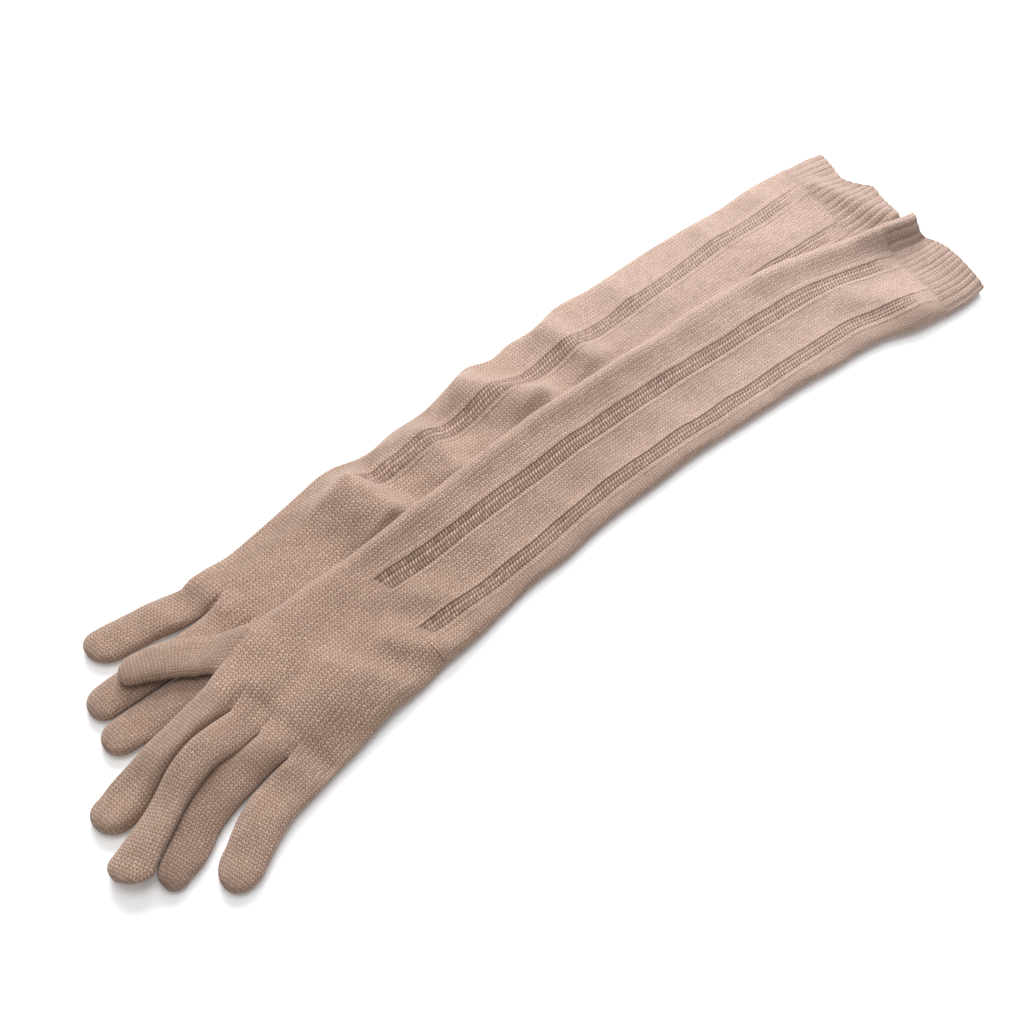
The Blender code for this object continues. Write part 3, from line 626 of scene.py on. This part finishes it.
def ladder_bars(points, normal, kinds, at, band, pitch):
    """Slanted yarn bars across an openwork band: points, faces, course and painted shade of each.
    """
    cols = [c for c, (k, kind, f) in enumerate(kinds) if k == band]
    first, last = cols[0], cols[-1] + 1
    verts, faces, marks, shades = [], [], [], []

    def place(run, f):
        """Spot and outward direction at a distance along the sleeve and a share of the band."""
        r = np.clip(np.searchsorted(at, run) - 1, 0, len(at) - 2)
        t = (run - at[r]) / (at[r + 1] - at[r])
        c = first + f * (last - first)
        k = int(min(c, last - 1))
        w = c - k
        grid = [(r, k, (1 - t) * (1 - w)), (r + 1, k, t * (1 - w)),
                (r, k + 1, (1 - t) * w), (r + 1, k + 1, t * w)]
        return (sum(points[a, b] * m for a, b, m in grid),
                sum(normal[a, b] * m for a, b, m in grid))

    for row in range(BAR_ROWS):
        f0, f1 = LADDER * row / BAR_ROWS, LADDER * (row + 1) / BAR_ROWS
        begin = BARS_START + BARS_SLANT * (1.0 - (f0 + f1) / 2.0)
        for n in range(int((at[-1] - begin - 9.0) / pitch)):
            run = begin + (n + 0.5 + BAR_STAGGER * row) * pitch
            here = []
            for f, up in ((f0 + 0.02, -0.1), ((f0 + f1) / 2.0, 1.0), (f1 - 0.02, -0.1)):
                leant = run + BAR_LEAN * (f - f0)
                spot, out = place(min(leant, at[-1] - 0.1), f)
                ahead, _ = place(min(leant + 0.3, at[-1]), f)
                way = ahead - spot
                way /= max(np.linalg.norm(way), 1e-6)
                lift = BAR_TALL * (0.45 + 0.55 * up)
                here += [spot - way * BAR_WIDE / 2 - out * 0.25,
                         spot - way * BAR_WIDE / 3.2 + out * lift,
                         spot + way * BAR_WIDE / 3.2 + out * lift,
                         spot + way * BAR_WIDE / 2 - out * 0.25]
            b = len(verts)
            verts += here
            marks += [run / pitch] * 12
            shades += [BAR_SHADES[row][0]] * 8 + [BAR_SHADES[row][1]] * 4
            for ring in (b, b + 4):
                for e in range(4):
                    g = (e + 1) % 4
                    faces.append((ring + e, ring + 4 + e, ring + 4 + g, ring + g))
            faces.append((b + 3, b + 2, b + 1, b))
            faces.append((b + 8, b + 9, b + 10, b + 11))
    return verts, faces, marks, shades


# ---- materials
class Nodes:
    """Short calls that add and link nodes in one tree."""

    def __init__(self, tree):
        self.tree = tree

    def add(self, kind, **values):
        node = self.tree.nodes.new(kind)
        for name, value in values.items():
            setattr(node, name, value)
        return node

    def put(self, node, index, value):
        if isinstance(value, bpy.types.NodeSocket):
            self.tree.links.new(value, node.inputs[index])
        else:
            node.inputs[index].default_value = value

    def math(self, operation, a, b=None, c=None):
        node = self.add("ShaderNodeMath", operation=operation)
        for k, value in enumerate((a, b, c)):
            if value is not None:
                self.put(node, k, value)
        return node.outputs[0]

    def mix(self, factor, a, b, blend="MIX"):
        node = self.add("ShaderNodeMix", data_type="RGBA", blend_type=blend)
        self.put(node, 0, factor)
        self.put(node, 6, a)
        self.put(node, 7, b)
        return node.outputs[2]

    def noise(self, vector, scale, detail=2.0, rough=0.5):
        node = self.add("ShaderNodeTexNoise")
        self.put(node, "Vector", vector)
        self.put(node, "Scale", scale)
        self.put(node, "Detail", detail)
        self.put(node, "Roughness", rough)
        return node.outputs["Fac"]

    def ramp(self, value, low, high, to_low=0.0, to_high=1.0):
        node = self.add("ShaderNodeMapRange")
        for k, v in enumerate((value, low, high, to_low, to_high)):
            self.put(node, k, v)
        return node.outputs[0]


def node_group(name, inputs, outputs):
    """A shader node group with its sockets, as its nodes and its two ends."""
    tree = bpy.data.node_groups.new(name, "ShaderNodeTree")
    for way, sockets in (("INPUT", inputs), ("OUTPUT", outputs)):
        for label, kind, *value in sockets:
            made = tree.interface.new_socket(name=label, in_out=way,
                                             socket_type="NodeSocket" + kind)
            if value:
                made.default_value = value[0]
    n = Nodes(tree)
    return n, n.add("NodeGroupInput").outputs, n.add("NodeGroupOutput")


def stitch_group():
    """Stockinette face: two slanting yarn legs to each wale and course."""
    n, inp, out = node_group(
        "Stockinette stitch", (("Stitch UV", "Vector"), ("Slant", "Float", 0.62)),
        (("Height", "Float"), ("Between", "Float"), ("Each stitch", "Float")))
    split = n.add("ShaderNodeSeparateXYZ")
    n.put(split, 0, inp["Stitch UV"])
    places = []
    for place, scale in ((split.outputs[0], 0.6), (split.outputs[1], 0.45)):
        sway = n.add("ShaderNodeTexNoise", noise_dimensions="2D")
        n.put(sway, "Vector", inp["Stitch UV"])
        n.put(sway, "Scale", scale)
        n.put(sway, "Detail", 0.0)
        part = n.math("MULTIPLY_ADD", sway.outputs["Fac"], 0.5, -0.25)
        places.append(n.math("ADD", place, part))
    u, v = places
    across = n.math("FRACT", u)
    side = n.math("MULTIPLY", n.math("ABSOLUTE", n.math("SUBTRACT", across, 0.5)), 2.0)
    lean = n.math("ADD", v, n.math("MULTIPLY", side, inp["Slant"]))
    leg = n.math("SINE", n.math("MULTIPLY", n.math("FRACT", lean), HALF_TURN))
    leg = n.math("POWER", n.math("MAXIMUM", leg, 0.0), 0.8)
    depth = n.math("MULTIPLY_ADD", n.math("GREATER_THAN", across, 0.5), -0.3, 1.0)
    leg = n.math("MULTIPLY_ADD", n.math("SUBTRACT", leg, 1.0), depth, 1.0)
    rounded = n.math("SINE", n.math("MULTIPLY", side, HALF_TURN))
    rounded = n.math("POWER", n.math("MAXIMUM", rounded, 0.0), 0.5)
    height = n.math("MULTIPLY", n.math("MULTIPLY_ADD", rounded, 0.4, 0.6),
                    n.math("MULTIPLY_ADD", leg, 0.95, 0.05))
    groove = n.math("MULTIPLY_ADD", n.math("POWER", side, 4.0), -0.45, 1.0)
    height = n.math("MULTIPLY", height, groove)
    n.put(out, "Height", height)
    n.put(out, "Between", n.math("SUBTRACT", 1.0, height))
    leg_number = n.add("ShaderNodeCombineXYZ")
    n.put(leg_number, 0, n.math("FLOOR", n.math("MULTIPLY", u, 2.0)))
    n.put(leg_number, 1, n.math("FLOOR", lean))
    white = n.add("ShaderNodeTexWhiteNoise", noise_dimensions="2D")
    n.put(white, "Vector", leg_number.outputs[0])
    n.put(out, "Each stitch", white.outputs["Value"])


def heather_group():
    """Mixed-fibre yarn: light and dark flecks over slow changes of warmth, painted shade between
    the yarn's legs and where a piece marks it, and paler and cooler towards the cuffs.
    """
    n, inp, out = node_group(
        "Heathered yarn",
        (("Position", "Vector"), ("Each stitch", "Float", 0.5), ("Between", "Float", 0.0),
         ("Pit", "Float", 0.0), ("Washed", "Float", 0.0),
         ("Yarn", "Color", (0.5, 0.37, 0.29, 1.0)),
         ("Dark fibre", "Color", (0.3, 0.2, 0.14, 1.0)),
         ("Light fibre", "Color", (0.7, 0.57, 0.47, 1.0))),
        (("Color", "Color"),))
    contrast = n.math("MULTIPLY_ADD", inp["Washed"], -CUFFWARD_LOSS, 1.0)
    slow = n.noise(inp["Position"], 28.0, 3.0)
    mid = n.noise(inp["Position"], 160.0, 3.0, 0.6)
    fleck = n.noise(inp["Position"], 620.0, 2.0, 0.7)
    light = n.math("MULTIPLY", contrast, 0.38)
    dark = n.math("MULTIPLY", contrast, 0.28)
    colour = inp["Yarn"]
    for share, fibre in ((n.ramp(slow, 0.3, 0.7, 0.0, 0.16), "Dark fibre"),
                         (n.ramp(mid, 0.5, 0.8, 0.0, 0.35), "Dark fibre"),
                         (n.ramp(fleck, 0.55, 0.8, 0.0, 0.6), "Light fibre"),
                         (n.ramp(inp["Each stitch"], 0.6, 1.0, 0.0, light), "Light fibre"),
                         (n.ramp(inp["Each stitch"], 0.4, 0.0, 0.0, dark), "Dark fibre"),
                         # painted shade in the gaps between the yarn's legs, in the dark fibre's
                         # colour
                         (n.ramp(inp["Between"], 0.05, 0.75, 0.0, contrast), "Dark fibre")):
        colour = n.mix(share, colour, inp[fibre])
    # paler and cooler towards the cuffs, with fainter stitches there
    pale = n.mix(1.0, colour, (0.975, 1.015, 1.08, 1.0), "MULTIPLY")
    colour = n.mix(inp["Washed"], colour, pale)
    # painted shade where a piece marks it: the yarn painted darker there
    shaded_colour = n.mix(1.0, colour, (0.50, 0.42, 0.37, 1.0), "MULTIPLY")
    n.put(out, "Color", n.mix(inp["Pit"], colour, shaded_colour))


def knit_material(name, yarn, dark, light, relief):
    """A knitted finish with its stitches on the piece's own stitch grid."""
    material = bpy.data.materials.new(name)
    material.use_nodes = True
    n = Nodes(material.node_tree)
    shader = material.node_tree.nodes["Principled BSDF"]
    uv = n.add("ShaderNodeUVMap", uv_map=STITCH_UV)
    place = n.add("ShaderNodeTexCoord")
    painted_shade = n.add("ShaderNodeAttribute", attribute_name=PAINTED_SHADE)
    split = n.add("ShaderNodeSeparateXYZ")
    n.put(split, 0, place.outputs["Object"])
    cuffward = n.ramp(split.outputs[0], CUFFWARD_FROM, CUFFWARD_TO)
    stitch = n.add("ShaderNodeGroup", node_tree=bpy.data.node_groups["Stockinette stitch"])
    n.put(stitch, "Stitch UV", uv.outputs[0])
    yarns = n.add("ShaderNodeGroup", node_tree=bpy.data.node_groups["Heathered yarn"])
    for label, value in (
            ("Position", place.outputs["Object"]), ("Each stitch", stitch.outputs["Each stitch"]),
            ("Between", stitch.outputs["Between"]), ("Pit", painted_shade.outputs["Fac"]),
            ("Washed", cuffward), ("Yarn", (*yarn, 1.0)), ("Dark fibre", (*dark, 1.0)),
            ("Light fibre", (*light, 1.0))):
        n.put(yarns, label, value)
    n.put(shader, "Base Color", yarns.outputs["Color"])
    fuzz = n.noise(place.outputs["Object"], 2400.0, 2.0, 0.7)
    height = n.math("MULTIPLY_ADD", fuzz, 0.22, stitch.outputs["Height"])
    height = n.math("MULTIPLY", height, n.math("MULTIPLY_ADD", cuffward, -CUFFWARD_LOSS, 1.0))
    relief_node = n.add("ShaderNodeBump")
    n.put(relief_node, "Strength", 0.9)
    n.put(relief_node, "Distance", relief)
    n.put(relief_node, "Height", height)
    n.put(shader, "Normal", relief_node.outputs[0])
    n.put(shader, "Roughness", n.ramp(stitch.outputs["Height"], 0.0, 1.0, 0.95, 0.82))
    shader.inputs["Sheen Weight"].default_value = 0.25
    shader.inputs["Sheen Roughness"].default_value = 0.5
    shader.inputs["Specular IOR Level"].default_value = 0.25


# ---- settings
class GLOVES_PG_settings(bpy.types.PropertyGroup):
    cloth: bpy.props.FloatProperty(
        name="Cloth thickness", description="Thickness of the knitted cloth",
        default=0.0011, min=0.0003, max=0.003, unit="LENGTH")
    course: bpy.props.FloatProperty(
        name="Course height", description="Height of one row of stitches",
        default=0.00168, min=0.0008, max=0.004, unit="LENGTH")
    stitch_relief: bpy.props.FloatProperty(
        name="Stitch relief", description="How far the stitches stand out",
        default=0.0005, min=0.0, max=0.002, unit="LENGTH")
    ladder_depth: bpy.props.FloatProperty(
        name="Ladder depth", description="Depth of the openwork stripes",
        default=0.0006, min=0.0, max=0.002, unit="LENGTH")
    ridge: bpy.props.FloatProperty(
        name="Ridge height", description="Height of the fine rib beside each stripe",
        default=0.00045, min=0.0, max=0.001, unit="LENGTH")
    ribs: bpy.props.IntProperty(
        name="Ribs", description="Ribs round one cuff", default=33, min=8, max=60)
    rib_height: bpy.props.FloatProperty(
        name="Rib height", description="Height of the cuff's ribs",
        default=0.0005, min=0.0, max=0.002, unit="LENGTH")
    yarn: bpy.props.FloatVectorProperty(
        name="Yarn colour", description="Main colour of the yarn", subtype="COLOR",
        default=(0.62, 0.415, 0.31), min=0.0, max=1.0)
    dark: bpy.props.FloatVectorProperty(
        name="Dark fibre", description="Darker fibres in the yarn", subtype="COLOR",
        default=(0.27, 0.16, 0.11), min=0.0, max=1.0)
    light: bpy.props.FloatVectorProperty(
        name="Light fibre", description="Lighter fibres in the yarn", subtype="COLOR",
        default=(0.78, 0.58, 0.46), min=0.0, max=1.0)
    floor: bpy.props.FloatVectorProperty(
        name="Floor colour", description="Colour of the plain floor", subtype="COLOR",
        default=(0.96, 0.96, 0.96), min=0.0, max=1.0)


SIDES = [("over", "Upper glove", "The glove that lies on top"),
         ("under", "Lower glove", "The glove that lies underneath")]
GLOVE = bpy.props.EnumProperty(name="Glove", description="Which glove", items=SIDES)


def settings():
    """The settings of the scene's gloves."""
    return bpy.context.scene.glove_settings


def courses_of(at, start=0.0):
    """Course number at a distance in mm."""
    return start + at * MM / settings().course


class GLOVES_OT_yarn(bpy.types.Operator):
    """Makes the knit materials and the node groups that they share"""
    bl_idname = "gloves.yarn"
    bl_label = "Yarn and knit materials"

    def execute(self, context):
        s = settings()
        stitch_group()
        heather_group()
        for slot, tone in TONES.items():
            colours = [[c * tone for c in colour] for colour in (s.yarn, s.dark, s.light)]
            knit_material(KNITS[slot], *colours, s.stitch_relief)
        return {"FINISHED"}


class GLOVES_OT_sleeve(bpy.types.Operator):
    """Adds a sleeve with its two openwork stripes"""
    bl_idname = "gloves.sleeve"
    bl_label = "Sleeve"
    side: GLOVE

    def execute(self, context):
        s = settings()
        rows, at = rows_of(self.side + "_sleeve", SLEEVE_STEP)
        top_s, kinds = sleeve_columns(rows, self.side)
        low_s = underneath(SLEEVE_LOW, SLEEVE_SECTION, rows)
        full = np.where(top_s < 0.0, np.abs(top_s) ** SLEEVE_FULL, top_s)
        ground = tube_points(self.side, rows, top_s, low_s, roll(full, *KNIT_ROLL),
                             roll(low_s, *KNIT_ROLL))
        normal = ring_normals(ground)
        weight = OPENWORK[self.side]
        lift, painted_shade = stripe_relief(kinds, at, s.ladder_depth / MM, s.ridge / MM, weight)
        n = top_s.shape[1]
        points = ground.copy()
        points[:, :n] += normal[:, :n] * lift[:, :, None]
        # painted shade of the openwork, on the top columns only
        dark = np.zeros(points.shape[:2])
        dark[:, :n] = painted_shade
        wales = wales_round(ground[0], 0.0, WALES_HALF)
        thing = tube_mesh(self.side + "_sleeve_knit", points, wales, courses_of(at), dark)
        thicken(thing, s.cloth)
        self.join_bars(thing, ground, normal, kinds, at, weight)
        finish_piece(thing, self.side, "sleeve")
        return {"FINISHED"}

    @staticmethod
    def join_bars(thing, ground, normal, kinds, at, weight):
        """Joins the yarn bars of both stripes to the sleeve."""
        verts, faces, corners, shades = [], [], [], []
        for band in BANDS:
            v, f, marks, d = ladder_bars(ground, normal, kinds, at, band, settings().course / MM)
            faces += [tuple(i + len(verts) for i in face) for face in f]
            corners += [(BAR_WALE, marks[i]) for face in f for i in face]
            verts += v
            shades += [weight * x for x in d]
        bars = mesh_object("bars", np.array(verts), faces, corners, shades)
        select_only(bars)
        bpy.ops.object.mode_set(mode="EDIT")
        bpy.ops.mesh.select_all(action="SELECT")
        bpy.ops.mesh.normals_make_consistent(inside=False)
        bpy.ops.object.mode_set(mode="OBJECT")
        bpy.ops.object.shade_smooth()
        select_only(thing)
        bars.select_set(True)
        bpy.ops.object.join()


class GLOVES_OT_cuff(bpy.types.Operator):
    """Adds a ribbed cuff"""
    bl_idname = "gloves.cuff"
    bl_label = "Ribbed cuff"
    side: GLOVE

    def execute(self, context):
        s = settings()
        rows, at = rows_of(self.side + "_cuff", CUFF_STEP)
        columns = (s.ribs * RIB_COLUMNS) // 2 + 1
        top_s = over_top(columns, CUFF_SECTION, rows)
        low_s = underneath(columns, CUFF_SECTION, rows)
        waves = np.array(WAVES[self.side]).T
        reach = ease(at / at[-1])[:, None] ** 2

        def wave(spans):
            return reach * smooth(*waves, spans)

        points = tube_points(self.side, rows, top_s, low_s, roll(top_s, *KNIT_ROLL),
                             roll(low_s, *KNIT_ROLL), wave)
        around = points.shape[1]
        turn = np.arange(around) / around * s.ribs
        turn = turn + 0.13 * np.sin(turn * 1.9) + 0.10 * np.sin(turn * 0.73 + 1.0)
        crest = np.abs(np.sin(np.pi * turn)) ** 0.7
        grow = (ease(at / 2.5) * (0.85 + 0.3 * ease(at / at[-1])))[:, None]
        under = np.ones(around)
        under[top_s.shape[1]:] = RIB_LOW
        height = s.rib_height / MM * grow * (crest * 1.25 - 0.6) * under
        points += ring_normals(points) * height[:, :, None]
        wales = np.arange(around + 1) / around * s.ribs * 2.0
        # painted shade in the grooves between the ribs
        dark = np.clip(0.55 - crest, 0.0, 1.0) * grow * 0.9
        thing = tube_mesh(self.side + "_cuff_knit", points, wales, courses_of(at), dark)
        thicken(thing, s.cloth * CUFF_THICK)
        finish_piece(thing, self.side, "cuff")
        return {"FINISHED"}


def scallop(spans, marks):
    """The roll of four fingers side by side, for a hand's front edge."""
    total = np.zeros_like(spans)
    for low, high in zip(marks, marks[1:]):
        inside = (spans >= low) & (spans <= high)
        local = (spans - (low + high) / 2.0) / ((high - low) / 2.0)
        total = np.where(inside, roll(local, *DIGIT_ROLL), total)
    return np.maximum(total, FRONT_LOW)


def finger_order(side):
    """The fingers from the lower side edge of a hand to its upper one."""
    order = ("little", "ring", "middle", "index")
    return order if side == "over" else order[::-1]


def finger_marks(side):
    """Where the fingers part along the front edge of the hand, from -1 to 1."""
    _, upper, _, lower, _ = ROWS[side + "_hand"][-1]
    roots = [ROWS[side + "_" + finger][0] for finger in finger_order(side)]
    cuts = [(one[1] + other[3]) / 2.0 for one, other in zip(roots, roots[1:])]
    mid, half = (upper + lower) / 2.0, (upper - lower) / 2.0
    return [-1.0, *((cut - mid) / half for cut in cuts), 1.0]


def root_wales(side, digit):
    """The wales of the hand between which a digit starts."""
    if digit == "thumb":
        return 0.0, THUMB_WALES
    top = even_spans(HAND_TOP, *HAND_SECTION)
    marks = np.interp(finger_marks(side), top, np.linspace(0.0, WALES_HALF, HAND_TOP))
    k = finger_order(side).index(digit)
    return marks[k], marks[k + 1]


class GLOVES_OT_hand(bpy.types.Operator):
    """Adds the plain hand of a glove"""
    bl_idname = "gloves.hand"
    bl_label = "Hand"
    side: GLOVE

    def execute(self, context):
        rows, at = rows_of(self.side + "_hand", HAND_STEP)
        spans = over_top(HAND_TOP, HAND_SECTION, rows), underneath(HAND_LOW, HAND_SECTION, rows)
        marks = finger_marks(self.side)
        front = ease((at - at[-1] + FRONT_LENGTH) / FRONT_LENGTH)[:, None] ** 1.5
        heights = [roll(part, *KNIT_ROLL) * (1 - front) + scallop(part, marks) * front
                   for part in spans]
        points = tube_points(self.side, rows, *spans, *heights)
        wales = wales_round(points[0], 0.0, WALES_HALF)
        thing = tube_mesh(self.side + "_hand_knit", points, wales, courses_of(-at))
        thicken(thing, settings().cloth)
        finish_piece(thing, self.side, "hand")
        return {"FINISHED"}


class GLOVES_OT_digits(bpy.types.Operator):
    """Adds the four fingers and the thumb of a glove"""
    bl_idname = "gloves.digits"
    bl_label = "Fingers and thumb"
    side: GLOVE

    def execute(self, context):
        for digit in DIGITS:
            self.add(digit)
        return {"FINISHED"}

    def add(self, digit):
        name = self.side + "_" + digit
        tip_x, tip_y = TIPS[name]
        rows, at = rows_of(name, HAND_STEP)
        whole = len(rows)
        rows, at = close_tip(rows, at, TIPS[name])
        top_s = over_top(DIGIT_TOP, DIGIT_SECTION, rows)
        low_s = underneath(DIGIT_LOW, DIGIT_SECTION, rows)
        points = tube_points(self.side, rows, top_s, low_s, roll(top_s, *DIGIT_ROLL),
                             roll(low_s, *DIGIT_ROLL), crowned=False)
        low_up, high_up = RAISED.get(name, (0.0, 0.0))
        share = (1.0 + np.concatenate((top_s, low_s), axis=1)) / 2.0
        risen = ease(at / RISE_LENGTH)[:, None]
        points[:, :, 2] += (low_up + (high_up - low_up) * share) * risen
        middle = rows[whole - 1, 4] / 2.0
        points[whole:, :, 2] += (middle - rows[whole:, 4, None] / 2.0) * 0.6
        ground = float(base_of(self.side)(np.array([tip_x]), np.array([tip_y]))[0])
        tip = (tip_x, tip_y, ground + middle + (low_up + high_up) / 2.0)
        first, last = root_wales(self.side, digit)
        wales = wales_round(points[0], first, (last - first) * FINGER_WALES)
        _, hand_at = rows_of(self.side + "_hand", HAND_STEP)
        courses = courses_of(-at, courses_of(-hand_at[-1]))
        # painted shade of the middle finger lying over it, darker towards its upper side
        dark = SHADED.get(name, 0.0) * (0.3 + 0.8 * share) * risen
        thing = tube_mesh(name + "_knit", points, wales, courses, dark, tip)
        thicken(thing, settings().cloth)
        finish_piece(thing, self.side, digit)


def aimed(name, data, spot, aim):
    """A lamp or camera at a spot, turned towards aim."""
    thing = linked(name, data)
    thing.location = spot
    thing.rotation_euler = (aim - spot).to_track_quat("-Z", "Y").to_euler()
    return thing


class GLOVES_OT_stage(bpy.types.Operator):
    """Adds the floor, the soft studio light and the camera"""
    bl_idname = "gloves.stage"
    bl_label = "Floor, light and camera"

    def execute(self, context):
        scene = context.scene
        bpy.ops.object.select_all(action="DESELECT")
        bpy.ops.mesh.primitive_plane_add(size=8.0, location=(0.0, 0.0, -0.0004))
        floor = context.object
        floor.name = "floor"
        paint = bpy.data.materials.new("floor_paint")
        paint.use_nodes = True
        shader = paint.node_tree.nodes["Principled BSDF"]
        colour = (*settings().floor, 1.0)
        for label, value in (("Base Color", colour), ("Roughness", 0.9),
                             ("Specular IOR Level", 0.1), ("Emission Color", colour),
                             ("Emission Strength", FLOOR_GLOW)):
            shader.inputs[label].default_value = value
        floor.data.materials.append(paint)
        turn, tilt = np.radians((CAMERA_TURN, CAMERA_TILT))
        ahead = Vector((np.sin(turn), np.cos(turn), 0.0))
        aim = Vector((-CENTRE[0] * MM, -CENTRE[1] * MM, 0.0))
        eye = aim - ahead * (CAMERA_HIGH / np.tan(tilt)) + Vector((0.0, 0.0, CAMERA_HIGH))
        camera = bpy.data.cameras.new("camera")
        camera.lens, camera.sensor_width = CAMERA_LENS, CAMERA_SENSOR
        camera.clip_start = 0.01
        scene.camera = aimed("camera", camera, eye, aim)
        for name, place, size, power, colour in LAMPS:
            lamp = bpy.data.lights.new(name, "AREA")
            lamp.size = size
            lamp.energy = power
            lamp.color = colour
            aimed(name, lamp, Vector(place), aim)
        world = bpy.data.worlds.new("studio")
        scene.world = world
        world.use_nodes = True
        sky = world.node_tree.nodes["Background"]
        sky.inputs[0].default_value = (1.0, 1.0, 1.0, 1.0)
        sky.inputs[1].default_value = SKY_STRENGTH
        scene.view_settings.view_transform = "Standard"
        return {"FINISHED"}


class GLOVES_PT_panel(bpy.types.Panel):
    """Shows the gloves' settings and the buttons that build them"""
    bl_label = "Long knitted gloves"
    bl_idname = "GLOVES_PT_panel"
    bl_space_type = "VIEW_3D"
    bl_region_type = "UI"
    bl_category = "Gloves"

    def draw(self, context):
        layout = self.layout
        for name in GLOVES_PG_settings.__annotations__:
            layout.prop(context.scene.glove_settings, name)
        layout.operator("gloves.yarn")
        for kind in ("sleeve", "cuff", "hand", "digits"):
            row = layout.row()
            for side, label, _ in SIDES:
                row.operator("gloves." + kind, text=label + " " + kind).side = side
        layout.operator("gloves.stage")


CLASSES = (GLOVES_PG_settings, GLOVES_OT_yarn, GLOVES_OT_sleeve, GLOVES_OT_cuff,
           GLOVES_OT_hand, GLOVES_OT_digits, GLOVES_OT_stage, GLOVES_PT_panel)


def register():
    for cls in CLASSES:
        bpy.utils.register_class(cls)
    bpy.types.Scene.glove_settings = bpy.props.PointerProperty(type=GLOVES_PG_settings)


def unregister():
    del bpy.types.Scene.glove_settings
    for cls in reversed(CLASSES):
        bpy.utils.unregister_class(cls)


def main():
    register()
    bpy.ops.gloves.stage()
    bpy.ops.gloves.yarn()
    for side in ("under", "over"):
        bpy.ops.gloves.sleeve(side=side)
        bpy.ops.gloves.cuff(side=side)
        bpy.ops.gloves.hand(side=side)
        bpy.ops.gloves.digits(side=side)


if __name__ == "__main__":
    main()
